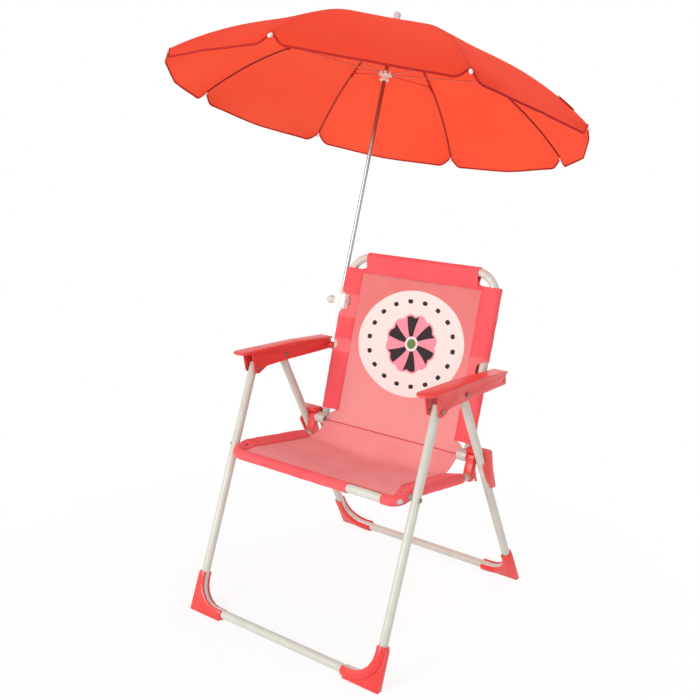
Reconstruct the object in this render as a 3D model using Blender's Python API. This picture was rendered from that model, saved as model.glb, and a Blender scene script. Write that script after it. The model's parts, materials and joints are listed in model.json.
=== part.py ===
"""A child's folding armchair with a clip-on parasol, built as separate pieces.

Metres, +Z up, the chair faces -Y and its right side is +X. The side linkage is
a parallelogram: the front legs and the back stay parallel while the armrests
and the seat swing, and the rear legs hang from the armrests. The parasol stands
in a clamp on the left tube of the back, with eight ribs held open by eight
stretchers that meet at a runner on the pole.
"""
import math

import bmesh
import bpy
from mathutils import Matrix, Vector

# Clearances shared by every piece
CLEARANCE = 0.0003
OVERRUN = 0.004

# Steel tube of all four frames
TUBE_RADIUS = 0.0065
TUBE_WALL = 0.0010
TUBE_SIDES = 10
BEND_STEPS = 5

# Front and rear leg frames: two legs joined by a cross tube on the floor
LEG_PLANE_X = 0.1697
CROSS_TUBE_HEIGHT = 0.0092
LEG_BEND_RADIUS = 0.040
FRONT_CROSS_Y = -0.0543
FRONT_LEAN = math.radians(21.7)
REAR_CROSS_Y = 0.3232
REAR_LEAN = math.radians(-25.96)
LEG_TOP_STUB = 0.0085

# Heights of the pivots on those legs and on the back
ARM_FRONT_PIVOT_Z = 0.3574
ARM_MIDDLE_PIVOT_Z = 0.3652
ARM_REAR_PIVOT_Z = 0.3585
SEAT_FRONT_PIVOT_Z = 0.2435

# Back frame
BACK_TUBE_X = 0.1390
BACK_FOOT_Y = 0.2230
BACK_FOOT_Z = 0.2445
BACK_LENGTH = 0.2737
BACK_RECLINE = math.radians(16.8)
BACK_BEND_RADIUS = 0.040

# Seat frame
SEAT_TUBE_X = 0.1535
SEAT_FALL = math.radians(10)
SEAT_RUN = 0.160
SEAT_FRONT_REACH = 0.0214
SEAT_FRONT_DROP = 0.0025
SEAT_BEND_RADIUS = 0.018
SEAT_KINK_RADIUS = 0.030
SEAT_KINK_BEHIND = 0.010
SEAT_END_STUB = 0.012
SEAT_END_LOBE = 0.0070
SEAT_END_NECK = 0.0048

# Rivets of the side linkage
RIVET_RADIUS = 0.0020
RIVET_HEAD_RADIUS = 0.0040
RIVET_HEAD_HEIGHT = 0.0014
RIVET_CROWN_SHARE = 0.55
RIVET_COLLAR_RADIUS = 0.0042
RIVET_SIDES = 8

# Armrests, moulded channels with a crowned top plate
ARM_INNER_X = 0.1580
ARM_OUTER_X = 0.1796
ARM_TAPER = 0.0030
ARM_WALL = 0.0020
ARM_TIP_Y = 0.0486
ARM_TIP_Z = 0.3894
ARM_REAR_Y = 0.2640
ARM_REAR_Z = 0.3722
ARM_CROWN = 0.0020
ARM_PLATE = 0.0040
ARM_PLATE_EDGE = 0.0014
ARM_OVERHANG = 0.0028
ARM_BEAK = 0.0225
ARM_NOSE = 0.0100
ARM_NOSE_SHARES = ((0, 0.36), (0.15, 0.20), (0.45, 0.07))
ARM_FRONT_LOBE = 0.0080
ARM_LOBE_RUN = 0.0200
ARM_MIDDLE_LOBE = 0.0088
ARM_END_DEPTH = 0.0210
ARM_BOSS_RADIUS = 0.0062
ARM_STATIONS = 10

# Feet, open sleeves round the bends with a web down to a corner
FOOT_WALL = 0.0026
FOOT_CLIMB = 0.056
FOOT_INNER_X = 0.116
FOOT_CORNER_X = 0.1800
FOOT_WEB_HALF = 0.0042
FOOT_WRAP = math.radians(250)
FOOT_TOE_HEIGHT = 0.0040
FOOT_FLARE_SHARES = ((0.08, 0.20), (0.30, 0.46), (0.62, 0.74))
FOOT_WRAP_STEPS = 8

# Hinge brackets at the foot of the back
BRACKET_SOCKET_WALL = 0.0026
BRACKET_SIDE_WALL = 0.0012
BRACKET_FLOOR = 0.0060
BRACKET_RISE = 0.0060
BRACKET_EAR_RADIUS = 0.0085
BRACKET_TOP_Z = 0.2600
BRACKET_MIDDLE_Z = 0.2300
BRACKET_TAIL_Z = 0.1950
BRACKET_TOP_DEPTH = 0.0250
BRACKET_MIDDLE_DEPTH = 0.0145
BRACKET_TAIL_DEPTH = 0.0085
BRACKET_CHAMFER = 0.0040
BRACKET_CRADLE = 0.0030
BRACKET_CHEEK = 0.0030
BRACKET_CHEEK_REACH = 0.0088
BRACKET_CHEEK_TOP_Z = 0.2370
BRACKET_CHEEK_FOOT_Z = 0.2140
BRACKET_NOTCH_DEPTH = 0.0150
BRACKET_ROOM_GAP = 0.0010

# Woven slings: sleeves round the tubes and a sheet that sags between them
CLOTH = 0.0010
SHEET_COLUMNS = 8
BACK_SLEEVE_FOOT = 0.0150
BACK_SLEEVE_TOP = 0.2530
BACK_TOP_SLEEVE_X = 0.1050
BACK_SHEET_FOOT = -0.0045
BACK_FOOT_FORWARD = 0.0050
BACK_FOOT_RUN = 0.0300
BACK_SAG = 0.0080
BACK_ROWS = 8
ARM_NOTCH_HALF = 0.0095
ARM_NOTCH_RISE = 0.0035
ARM_NOTCH_DEPTH = 0.0095
CLAMP_NOTCH_HALF = 0.0150
NOTCH_DEPTH = 0.0130
NOTCH_FLARE_SHARE = 0.35
SEAT_NOTCH_HALF = 0.0090
SEAT_NOTCH_DEPTH = 0.0035
SEAT_SAG = 0.0120
SEAT_ROWS = 8
SEAT_SLEEVE_GAP = 0.0160
SEAT_SLEEVE_FRONT = 0.0100
SEAT_TAIL_INSET = 0.0200
SEAT_TAIL_SPAN = 0.0085
SEAT_TAIL_RISE = 0.0020
SEAT_OPENING_INNER_X = 0.0690
SEAT_OPENING_OUTER_X = 0.1290
SEAT_CORNER_STUB = 0.0090

# Parasol clamp on the left tube of the back
CLAMP_BELOW_TOP = 0.0787
CLAMP_HALF_HEIGHT = 0.0125
CLAMP_FRONT = 0.0165
CLAMP_REAR = 0.0110
CLAMP_FLANK = 0.0125
CLAMP_JAW_WIDTH = 0.0100
POLE_SIDE_OFFSET = 0.0175
POLE_REAR_OFFSET = 0.0099
SOCKET_WALL = 0.0024
SOCKET_TOP = 0.0260
SOCKET_FLOOR = 0.0030
SCREW_FRONT = 0.0118
SCREW_RADIUS = 0.0016
KNOB_RADIUS = 0.0070
KNOB_NECK_RADIUS = 0.0034
KNOB_NECK = 0.0030
KNOB_SIDES = 12

# Parasol
PARASOL_BACK_LEAN = math.radians(18.2)
PARASOL_SIDE_LEAN = math.radians(0.44)
RIM_ABOVE_CLAMP = 0.3325
CANOPY_RADIUS = 0.3565
CANOPY_RISE = 0.1275
CANOPY_CLOTH = 0.0006
CANOPY_HEM = 0.0280
CANOPY_NOTCH = 0.0220
CANOPY_ROWS = 6
CANOPY_COLUMNS = 2
CANOPY_EYE = 0.0032
RIB_COUNT = 8
RIB_PHASE = math.radians(10.2)
RIB_RADIUS = 0.0013
RIB_SIDES = 5
RIB_SLACK = 0.0005
RIB_TIP_RADIUS = 0.0026
RIB_TIP_LENGTH = 0.0080
RIB_TIP_SHARES = ((-0.01, 0.5), (0, 1), (0.7, 1), (1, 0.5))
STRETCHER_RADIUS = 0.0011
STRETCHER_JOINT_RADIUS = 0.1870
HINGE_RING_RADIUS = 0.0090
POLE_RADIUS = 0.0033
POLE_WALL = 0.0006
CROWN_RADIUS = 0.0112
CROWN_BELOW = 0.0060
CROWN_CORE = 0.0066
CROWN_TOP_GAP = 0.0008
RUNNER_RADIUS = 0.0112
RUNNER_WAIST_RADIUS = 0.0062
RUNNER_FOOT_RADIUS = 0.0075
RUNNER_FLANGE = 0.0060
RUNNER_WAIST = 0.0060
RUNNER_FOOT = 0.0030
SLOT_HALF = 0.0017
FINIAL_RADIUS = 0.0068
FINIAL_FLANGE_RADIUS = 0.0095
FINIAL_FLANGE = 0.0016
FINIAL_HEIGHT = 0.0335
FINIAL_SHARES = ((0.30, 0.94), (0.36, 0.80), (0.42, 0.94), (0.86, 0.90), (0.96, 0.66), (1, 0.25))
FINIAL_STUB = 0.0120
STRAP_WIDTH = 0.0120
STRAP_LENGTH = 0.0260
STRAP_THICKNESS = 0.0012
STRAP_INSET = 0.0405
STRAP_RIB = 0

UP = Vector((0, 0, 1))
ACROSS = Vector((1, 0, 0))


def leg_point(cross_y, lean, height):
    """Point (y, z) on a leg's axis at a height above the floor."""
    return Vector((cross_y + (height - CROSS_TUBE_HEIGHT) * math.tan(lean), height))


def on_plane(x, point):
    """Three-dimensional point from an x and a (y, z) point of the side view."""
    return Vector((x, point.x, point.y))


# Side view of the linkage, all as (y, z)
BACK_DIRECTION = Vector((math.sin(BACK_RECLINE), math.cos(BACK_RECLINE)))
SEAT_DIRECTION = Vector((math.cos(SEAT_FALL), -math.sin(SEAT_FALL)))
BACK_FOOT = Vector((BACK_FOOT_Y, BACK_FOOT_Z))
ARM_FRONT_PIVOT = leg_point(FRONT_CROSS_Y, FRONT_LEAN, ARM_FRONT_PIVOT_Z)
ARM_MIDDLE_PIVOT = leg_point(REAR_CROSS_Y, REAR_LEAN, ARM_MIDDLE_PIVOT_Z)
ARM_REAR_PIVOT = BACK_FOOT + BACK_DIRECTION * (
    (ARM_REAR_PIVOT_Z - BACK_FOOT_Z) / BACK_DIRECTION.y
)
SEAT_FRONT_PIVOT = leg_point(FRONT_CROSS_Y, FRONT_LEAN, SEAT_FRONT_PIVOT_Z)
SEAT_REAR_PIVOT = SEAT_FRONT_PIVOT + ARM_REAR_PIVOT - ARM_FRONT_PIVOT
SEAT_FRONT_BAR = SEAT_FRONT_PIVOT - Vector((SEAT_FRONT_REACH, SEAT_FRONT_DROP))
SEAT_SHEET_END = BACK_FOOT - Vector((SEAT_TAIL_SPAN, SEAT_TAIL_RISE))
SEAT_KINK = SEAT_FRONT_PIVOT + SEAT_KINK_BEHIND * (
    (SEAT_FRONT_PIVOT - SEAT_FRONT_BAR).normalized()
)
SEAT_TUBE_END = SEAT_KINK + SEAT_DIRECTION * (SEAT_RUN - SEAT_KINK_BEHIND)
REAR_LEG_DIRECTION = (
    leg_point(REAR_CROSS_Y, REAR_LEAN, ARM_MIDDLE_PIVOT_Z)
    - leg_point(REAR_CROSS_Y, REAR_LEAN, CROSS_TUBE_HEIGHT)
).normalized()

# Axes of the back and of the parasol
CLAMP_RISE = BACK_LENGTH - CLAMP_BELOW_TOP
BACK_FRAME = Matrix.Translation(on_plane(0, BACK_FOOT)) @ Matrix.Rotation(
    -BACK_RECLINE, 4, "X"
)
CLAMP_FRAME = BACK_FRAME @ Matrix.Translation((-BACK_TUBE_X, 0, CLAMP_RISE))
PARASOL_TURN = Matrix.Rotation(-PARASOL_BACK_LEAN, 4, "X") @ Matrix.Rotation(
    PARASOL_SIDE_LEAN, 4, "Y"
)
POLE_IN_CLAMP = CLAMP_FRAME @ Vector((-POLE_SIDE_OFFSET, POLE_REAR_OFFSET, 0))
PARASOL_FRAME = (
    Matrix.Translation(POLE_IN_CLAMP)
    @ PARASOL_TURN
    @ Matrix.Translation((0, 0, RIM_ABOVE_CLAMP))
)

bodies = {}
materials = {}


def clear_scene():
    """Removes every object the scene holds."""
    for old in list(bpy.data.objects):
        bpy.data.objects.remove(old)


def add_material(name, colour, roughness, metallic=0.0, alpha=1.0):
    """Plain Principled material, kept by name."""
    material = bpy.data.materials.new(name)
    material.use_nodes = True
    shader = material.node_tree.nodes["Principled BSDF"]
    shader.inputs["Base Color"].default_value = (*colour, 1.0)
    shader.inputs["Roughness"].default_value = roughness
    shader.inputs["Metallic"].default_value = metallic
    shader.inputs["Alpha"].default_value = alpha
    materials[name] = material


def add_body(name, pivot, parent=None):
    """Empty on a joint's axis that carries the pieces of one moving body."""
    empty = bpy.data.objects.new(name + "_axis", None)
    bpy.context.scene.collection.objects.link(empty)
    empty.location = pivot
    if parent is not None:
        empty.parent = bodies[parent][0]
        empty.location = pivot - bodies[parent][1]
    bodies[name] = (empty, pivot.copy())


def finish_piece(name, mesh_data, body, material, side=1):
    """Turns a bmesh in chair coordinates into an object carried by a body."""
    if side < 0:
        bmesh.ops.scale(mesh_data, vec=(-1, 1, 1), verts=mesh_data.verts)
    bmesh.ops.recalc_face_normals(mesh_data, faces=mesh_data.faces)
    empty, pivot = bodies[body]
    bmesh.ops.translate(mesh_data, vec=-pivot, verts=mesh_data.verts)
    mesh = bpy.data.meshes.new(name)
    mesh_data.to_mesh(mesh)
    mesh_data.free()
    mesh.shade_smooth()
    mesh.set_sharp_from_angle(angle=math.radians(35))
    piece = bpy.data.objects.new(name, mesh)
    bpy.context.scene.collection.objects.link(piece)
    piece.parent = empty
    if material is not None:
        mesh.materials.append(materials[material])
    return piece


def finish_tool(name, mesh_data, body, side=1):
    """Guide solid for a Boolean, hidden from the finished model."""
    tool = finish_piece(name, mesh_data, body, None, side)
    tool.hide_render = True
    tool.display_type = "WIRE"
    return tool


def combine(piece, tool, operation, solver="EXACT"):
    """Adds a Boolean modifier that cuts, joins or keeps what is inside."""
    modifier = piece.modifiers.new(tool.name, "BOOLEAN")
    modifier.operation = operation
    modifier.object = tool
    modifier.solver = solver


def circle(radius, sides):
    """Points of a circle's polygon."""
    step = 2 * math.pi / sides
    return [
        Vector((radius * math.cos(step * k), radius * math.sin(step * k)))
        for k in range(sides)
    ]


def arc(centre, radius, start, stop, steps):
    """Points along an arc, angles in degrees."""
    points = []
    for k in range(steps + 1):
        angle = math.radians(start + (stop - start) * k / steps)
        points.append(centre + radius * Vector((math.cos(angle), math.sin(angle))))
    return points


def rounded_path(corners, radii):
    """Polyline through corners whose inner ones are bent to the given radii."""
    path = [corners[0]]
    for before, corner, after, radius in zip(corners, corners[1:], corners[2:], radii):
        back = (before - corner).normalized()
        ahead = (after - corner).normalized()
        half = back.angle(ahead) / 2
        centre = corner + (back + ahead).normalized() * (radius / math.sin(half))
        start = corner + back * (radius / math.tan(half)) - centre
        stop = corner + ahead * (radius / math.tan(half)) - centre
        axis = start.cross(stop).normalized()
        sweep = start.angle(stop)
        steps = max(2, round(BEND_STEPS * sweep / math.radians(90)))
        for k in range(steps + 1):
            turn = Matrix.Rotation(sweep * k / steps, 3, axis)
            path.append(centre + turn @ start)
    path.append(corners[-1])
    return path


def path_length(path):
    """Length of a polyline."""
    return sum((b - a).length for a, b in zip(path, path[1:]))


def sub_path(path, start, stop):
    """Part of a polyline between two distances from its first point."""
    part = []
    run = 0
    for a, b in zip(path, path[1:]):
        length = (b - a).length
        for limit in (start, stop):
            if run < limit < run + length and limit == start:
                part.append(a.lerp(b, (limit - run) / length))
        if start <= run + length <= stop:
            part.append(b.copy())
        if run <= stop < run + length:
            part.append(a.lerp(b, (stop - run) / length))
            break
        run += length
    return part


def sweep_rings(mesh_data, path, profile, normal):
    """Rings of vertices of a profile carried square to a path."""
    rings = []
    for k, point in enumerate(path):
        ahead = path[min(k + 1, len(path) - 1)] - point
        behind = point - path[max(k - 1, 0)]
        tangent = (ahead.normalized() + behind.normalized()).normalized()
        side = tangent.cross(normal).normalized()
        top = side.cross(tangent)
        rings.append(
            [mesh_data.verts.new(point + side * p.x + top * p.y) for p in profile]
        )
    return rings


def skin(mesh_data, rings):
    """Quads between each ring and the next."""
    for lower, upper in zip(rings, rings[1:]):
        count = len(lower)
        for k in range(count):
            following = (k + 1) % count
            mesh_data.faces.new(
                (lower[k], lower[following], upper[following], upper[k])
            )


def add_tube(mesh_data, path, radius, wall, sides, normal):
    """Hollow tube along a path with open ends."""
    outer = sweep_rings(mesh_data, path, circle(radius, sides), normal)
    inner = sweep_rings(mesh_data, path, circle(radius - wall, sides), normal)
    skin(mesh_data, outer)
    skin(mesh_data, inner)
    for outside, inside in ((outer[0], inner[0]), (outer[-1], inner[-1])):
        skin(mesh_data, [outside, inside])


def add_bar(mesh_data, path, profile, normal):
    """Solid bar of a profile along a path."""
    rings = sweep_rings(mesh_data, path, profile, normal)
    skin(mesh_data, rings)
    mesh_data.faces.new(rings[0])
    mesh_data.faces.new(rings[-1])


def add_prism(mesh_data, outline, depth):
    """Solid prism from a flat outline in space, moved along a vector."""
    near = [mesh_data.verts.new(point) for point in outline]
    far = [mesh_data.verts.new(point + depth) for point in outline]
    skin(mesh_data, [near, far])
    mesh_data.faces.new(near)
    mesh_data.faces.new(far)


def add_side_prism(mesh_data, outline, start_x, stop_x):
    """Prism of a side view outline between two x planes."""
    add_prism(
        mesh_data,
        [on_plane(start_x, point) for point in outline],
        ACROSS * (stop_x - start_x),
    )


def add_turned(mesh_data, profile, sides, frame):
    """Solid turned from (distance along the axis, radius) points, with closed ends."""
    rings = []
    for along, radius in profile:
        rings.append(
            [
                mesh_data.verts.new(frame @ Vector((p.x, p.y, along)))
                for p in circle(radius, sides)
            ]
        )
    skin(mesh_data, rings)
    mesh_data.faces.new(rings[0])
    mesh_data.faces.new(rings[-1])


def side_axis(x, point):
    """Frame whose Z runs along +X from a point of the side view."""
    return Matrix.Translation(on_plane(x, point)) @ Matrix.Rotation(
        math.radians(90), 4, "Y"
    )


def add_pin_cutter(name, point, radius, start_x, stop_x, body, side=1):
    """Guide cylinder across the chair for a rivet's hole."""
    mesh_data = bmesh.new()
    add_turned(
        mesh_data,
        ((0, radius), (stop_x - start_x, radius)),
        RIVET_SIDES,
        side_axis(start_x, point),
    )
    return finish_tool(name, mesh_data, body, side)


def side_name(base, side):
    """Name of a right or left piece."""
    return f"{base}_{'right' if side > 0 else 'left'}"


def build_materials():
    """Finishes of the pieces, as the photograph shows them."""
    add_material("painted_steel", (0.80, 0.79, 0.74), 0.35)
    add_material("coral_plastic", (0.80, 0.10, 0.09), 0.38)
    add_material("sling_cloth", (0.90, 0.20, 0.22), 0.85)
    add_material("parasol_cloth", (0.90, 0.11, 0.05), 0.75)
    add_material("chrome", (0.75, 0.75, 0.77), 0.12, 1.0)
    add_material("white_plastic", (0.86, 0.85, 0.83), 0.40)
    add_material("clear_plastic", (0.85, 0.85, 0.86), 0.20)
    add_material("rivet_steel", (0.55, 0.54, 0.52), 0.35, 1.0)


def leg_frame_path(cross_y, lean, top_height):
    """U path from the right leg's top, over the floor, to the left leg's top."""
    top = leg_point(cross_y, lean, top_height)
    foot = leg_point(cross_y, lean, CROSS_TUBE_HEIGHT)
    corners = [
        on_plane(LEG_PLANE_X, top),
        on_plane(LEG_PLANE_X, foot),
        on_plane(-LEG_PLANE_X, foot),
        on_plane(-LEG_PLANE_X, top),
    ]
    return rounded_path(corners, (LEG_BEND_RADIUS, LEG_BEND_RADIUS))


def leg_frame_normal(lean):
    """Normal of a leg frame's plane."""
    return ACROSS.cross(Vector((0, math.sin(lean), math.cos(lean))))


def build_leg_frame(name, body, cross_y, lean, pivots):
    """Bent tube of the front or rear legs, drilled for its rivets."""
    top_height = max(p.y for p in pivots) + LEG_TOP_STUB * math.cos(lean)
    mesh_data = bmesh.new()
    path = leg_frame_path(cross_y, lean, top_height)
    add_tube(
        mesh_data, path, TUBE_RADIUS, TUBE_WALL, TUBE_SIDES, leg_frame_normal(lean)
    )
    frame = finish_piece(name, mesh_data, body, "painted_steel")
    for number, pivot in enumerate(pivots):
        reach = LEG_PLANE_X + TUBE_RADIUS + OVERRUN
        drill = add_pin_cutter(
            f"{name}_drill_{number}",
            pivot,
            RIVET_RADIUS + CLEARANCE,
            -reach,
            reach,
            body,
        )
        combine(frame, drill, "DIFFERENCE")


def build_foot(name, body, cross_y, lean, side):
    """Sleeve open towards the inside of a bend, with a web out to the floor."""
    path = leg_frame_path(cross_y, lean, FOOT_CLIMB)
    normal = leg_frame_normal(lean)
    run = path_length(path) / 2 - FOOT_INNER_X
    part = sub_path(path, 0, run)
    part.insert(0, path[0].copy())
    bore = TUBE_RADIUS + CLEARANCE
    shell = bore + FOOT_WALL
    profile = []
    for k in range(FOOT_WRAP_STEPS + 1):
        angle = FOOT_WRAP * (k / FOOT_WRAP_STEPS - 1 / 2)
        profile.append(Vector((shell * math.cos(angle), shell * math.sin(angle))))
    outward = (part[1] - part[0]).normalized().cross(normal)
    if outward.x < 0:
        profile = [Vector((-p.x, p.y)) for p in profile]
    mesh_data = bmesh.new()
    add_bar(mesh_data, part, profile, normal)
    foot = finish_piece(name, mesh_data, body, "coral_plastic", side)

    # The web lies in the frame's plane, in (x, distance up the leg) places
    centre_x = LEG_PLANE_X - LEG_BEND_RADIUS
    centre_v = LEG_BEND_RADIUS
    hug = LEG_BEND_RADIUS + bore + FOOT_WALL / 2
    sole = -CROSS_TUBE_HEIGHT / math.cos(lean) - OVERRUN
    climb = (FOOT_CLIMB - CROSS_TUBE_HEIGHT) / math.cos(lean) - FOOT_WALL
    web = [Vector((FOOT_INNER_X + FOOT_WALL, -bore - FOOT_WALL / 2))]
    web += arc(Vector((centre_x, centre_v)), hug, -90, 0, BEND_STEPS)
    web.append(Vector((centre_x + hug, climb)))
    web.append(Vector((LEG_PLANE_X + shell, climb)))
    toe_v = sole + OVERRUN + FOOT_TOE_HEIGHT
    flare = FOOT_CORNER_X - LEG_PLANE_X - shell
    for across_share, down_share in FOOT_FLARE_SHARES:
        web.append(
            Vector(
                (
                    LEG_PLANE_X + shell + flare * across_share * across_share,
                    climb + (toe_v - climb) * (down_share + across_share) / 2,
                )
            )
        )
    web.append(Vector((FOOT_CORNER_X, toe_v)))
    web.append(Vector((FOOT_CORNER_X, sole)))
    web.append(Vector((FOOT_INNER_X + FOOT_WALL, sole)))
    base = leg_point(cross_y, lean, CROSS_TUBE_HEIGHT)
    rise = Vector((0, math.sin(lean), math.cos(lean)))
    outline = [
        ACROSS * p.x + on_plane(0, base) + rise * p.y - normal * FOOT_WEB_HALF
        for p in web
    ]
    mesh_data = bmesh.new()
    add_prism(mesh_data, outline, normal * (2 * FOOT_WEB_HALF))
    web_tool = finish_tool(name + "_web", mesh_data, body, side)
    combine(foot, web_tool, "UNION")

    hole = path[: len(path) // 2 + 1]
    hole[0] = hole[0] + (hole[0] - hole[1]).normalized() * OVERRUN
    mesh_data = bmesh.new()
    add_bar(mesh_data, hole, circle(bore, TUBE_SIDES), normal)
    bore_tool = finish_tool(name + "_bore", mesh_data, body, side)
    combine(foot, bore_tool, "DIFFERENCE")

    depth = CROSS_TUBE_HEIGHT + OVERRUN
    reach = FOOT_CLIMB
    floor = [
        Vector((base.x - reach, 0)),
        Vector((base.x + reach, 0)),
        Vector((base.x + reach, -depth)),
        Vector((base.x - reach, -depth)),
    ]
    mesh_data = bmesh.new()
    add_side_prism(mesh_data, floor, FOOT_INNER_X - OVERRUN, FOOT_CORNER_X + OVERRUN)
    floor_tool = finish_tool(name + "_floor", mesh_data, body, side)
    combine(foot, floor_tool, "DIFFERENCE", "MANIFOLD")


def seat_path():
    """Path of the seat tube from its right rear end round to the left one."""
    right = [
        on_plane(SEAT_TUBE_X, SEAT_TUBE_END),
        on_plane(SEAT_TUBE_X, SEAT_KINK),
        on_plane(SEAT_TUBE_X, SEAT_FRONT_BAR),
    ]
    left = [Vector((-p.x, p.y, p.z)) for p in right[::-1]]
    bends = (SEAT_KINK_RADIUS, SEAT_BEND_RADIUS, SEAT_BEND_RADIUS, SEAT_KINK_RADIUS)
    return rounded_path(right + left, bends)


def back_path():
    """Path of the back tube from its right foot over the top to the left one."""
    corners = [
        Vector((BACK_TUBE_X, 0, 0)),
        Vector((BACK_TUBE_X, 0, BACK_LENGTH)),
        Vector((-BACK_TUBE_X, 0, BACK_LENGTH)),
        Vector((-BACK_TUBE_X, 0, 0)),
    ]
    path = rounded_path(corners, (BACK_BEND_RADIUS, BACK_BEND_RADIUS))
    return [BACK_FRAME @ point for point in path]


def build_seat_frame():
    """Bent seat tube, drilled for the front pivots."""
    mesh_data = bmesh.new()
    add_tube(mesh_data, seat_path(), TUBE_RADIUS, TUBE_WALL, TUBE_SIDES, UP)
    frame = finish_piece("seat_frame", mesh_data, "seat", "painted_steel")
    reach = SEAT_TUBE_X + TUBE_RADIUS + OVERRUN
    drill = add_pin_cutter(
        "seat_frame_drill",
        SEAT_FRONT_PIVOT,
        RIVET_RADIUS + CLEARANCE,
        -reach,
        reach,
        "seat",
    )
    combine(frame, drill, "DIFFERENCE")


def build_seat_end(side):
    """Moulded end of the seat tube: a stub inside it and an ear up to the hinge."""
    name = side_name("seat_end", side)
    square = Vector((-SEAT_DIRECTION.y, SEAT_DIRECTION.x))
    start = SEAT_TUBE_END + SEAT_DIRECTION * CLEARANCE
    rise = SEAT_REAR_PIVOT - start
    heel = start + SEAT_DIRECTION * (rise.x * 4 / 5) - square * TUBE_RADIUS
    outline = [start + square * TUBE_RADIUS, start - square * TUBE_RADIUS]
    outline.append(heel.lerp(start, 1 / 4) - square * TUBE_RADIUS / 4)
    outline.append(heel + rise / 5)
    outline.append(start + rise * 3 / 5 + Vector((SEAT_END_NECK * 3 / 2, 0)))
    outline += arc(SEAT_REAR_PIVOT, SEAT_END_LOBE, -20, 200, 6)
    outline.append(start + rise * 3 / 5 - Vector((SEAT_END_NECK, 0)))
    mesh_data = bmesh.new()
    add_side_prism(
        mesh_data, outline, SEAT_TUBE_X - TUBE_RADIUS, SEAT_TUBE_X + TUBE_RADIUS
    )
    end = finish_piece(name, mesh_data, "seat", "coral_plastic", side)
    along = Vector((0, SEAT_DIRECTION.x, SEAT_DIRECTION.y))
    mouth = on_plane(SEAT_TUBE_X, SEAT_TUBE_END)
    mesh_data = bmesh.new()
    add_bar(
        mesh_data,
        [mouth - along * SEAT_END_STUB, mouth + along * OVERRUN],
        circle(TUBE_RADIUS - TUBE_WALL - CLEARANCE, TUBE_SIDES),
        UP,
    )
    combine(end, finish_tool(name + "_stub", mesh_data, "seat", side), "UNION")
    reach = TUBE_RADIUS + OVERRUN
    drill = add_pin_cutter(
        name + "_drill",
        SEAT_REAR_PIVOT,
        RIVET_RADIUS + CLEARANCE,
        SEAT_TUBE_X - reach,
        SEAT_TUBE_X + reach,
        "seat",
        side,
    )
    combine(end, drill, "DIFFERENCE")


def build_back_frame():
    """Bent back tube, drilled for the armrests' rear rivets."""
    normal = BACK_FRAME.to_3x3() @ Vector((0, 1, 0))
    mesh_data = bmesh.new()
    add_tube(mesh_data, back_path(), TUBE_RADIUS, TUBE_WALL, TUBE_SIDES, normal)
    frame = finish_piece("back_frame", mesh_data, "back", "painted_steel")
    reach = BACK_TUBE_X + TUBE_RADIUS + OVERRUN
    drill = add_pin_cutter(
        "back_frame_drill",
        ARM_REAR_PIVOT,
        RIVET_RADIUS + CLEARANCE,
        -reach,
        reach,
        "back",
    )
    combine(frame, drill, "DIFFERENCE")


def build_rivet(name, body, pivot, inner_x, outer_x, side, collar=None):
    """Domed rivet through its pieces, with a shoulder where they stand apart."""
    seat_inner = inner_x - CLEARANCE
    seat_outer = outer_x + CLEARANCE
    crown = RIVET_HEAD_RADIUS * RIVET_CROWN_SHARE
    profile = [
        (seat_inner - RIVET_HEAD_HEIGHT, crown),
        (seat_inner, RIVET_HEAD_RADIUS),
        (seat_inner, RIVET_RADIUS),
    ]
    if collar is not None:
        for place in collar:
            radii = (RIVET_RADIUS, RIVET_COLLAR_RADIUS)
            if place == collar[1]:
                radii = radii[::-1]
            profile += [(place, radii[0]), (place, radii[1])]
    profile += [
        (seat_outer, RIVET_RADIUS),
        (seat_outer, RIVET_HEAD_RADIUS),
        (seat_outer + RIVET_HEAD_HEIGHT, crown),
    ]
    mesh_data = bmesh.new()
    add_turned(mesh_data, profile, RIVET_SIDES, side_axis(0, pivot))
    finish_piece(side_name(name, side), mesh_data, body, "rivet_steel", side)


def build_rivets():
    """Ten rivets of the side linkage."""
    leg_inner = LEG_PLANE_X - TUBE_RADIUS
    leg_outer = LEG_PLANE_X + TUBE_RADIUS
    seat_outer = SEAT_TUBE_X + TUBE_RADIUS
    for side in (1, -1):
        arm = side_name("armrest", side)
        build_rivet(
            "arm_front_rivet", "front", ARM_FRONT_PIVOT, ARM_INNER_X, ARM_OUTER_X, side
        )
        build_rivet(
            "arm_middle_rivet", arm, ARM_MIDDLE_PIVOT, ARM_INNER_X, ARM_OUTER_X, side
        )
        build_rivet(
            "arm_rear_rivet",
            "back",
            ARM_REAR_PIVOT,
            BACK_TUBE_X - TUBE_RADIUS,
            ARM_INNER_X + ARM_WALL,
            side,
        )
        build_rivet(
            "seat_front_rivet",
            "front",
            SEAT_FRONT_PIVOT,
            SEAT_TUBE_X - TUBE_RADIUS,
            leg_outer,
            side,
            (seat_outer + CLEARANCE, leg_inner - CLEARANCE),
        )
        build_rivet(
            "seat_rear_rivet",
            "back",
            SEAT_REAR_PIVOT,
            BACK_TUBE_X - TUBE_RADIUS,
            seat_outer,
            side,
        )


def arm_top(y):
    """Height of the armrest's crowned top at a y place."""
    share = (y - ARM_TIP_Y) / (ARM_REAR_Y - ARM_TIP_Y)
    return ARM_TIP_Z + (ARM_REAR_Z - ARM_TIP_Z) * share + ARM_CROWN * 4 * share * (
        1 - share
    )


def arm_outer(y):
    """Place of the armrest's outer wall across the chair, narrower to the rear."""
    share = (y - ARM_TIP_Y) / (ARM_REAR_Y - ARM_TIP_Y)
    return ARM_OUTER_X - ARM_TAPER * share * share


def arm_stations(start_y):
    """Places along the armrest from a start to its rear end."""
    return [
        start_y + (ARM_REAR_Y - start_y) * k / ARM_STATIONS
        for k in range(ARM_STATIONS + 1)
    ]


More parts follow.
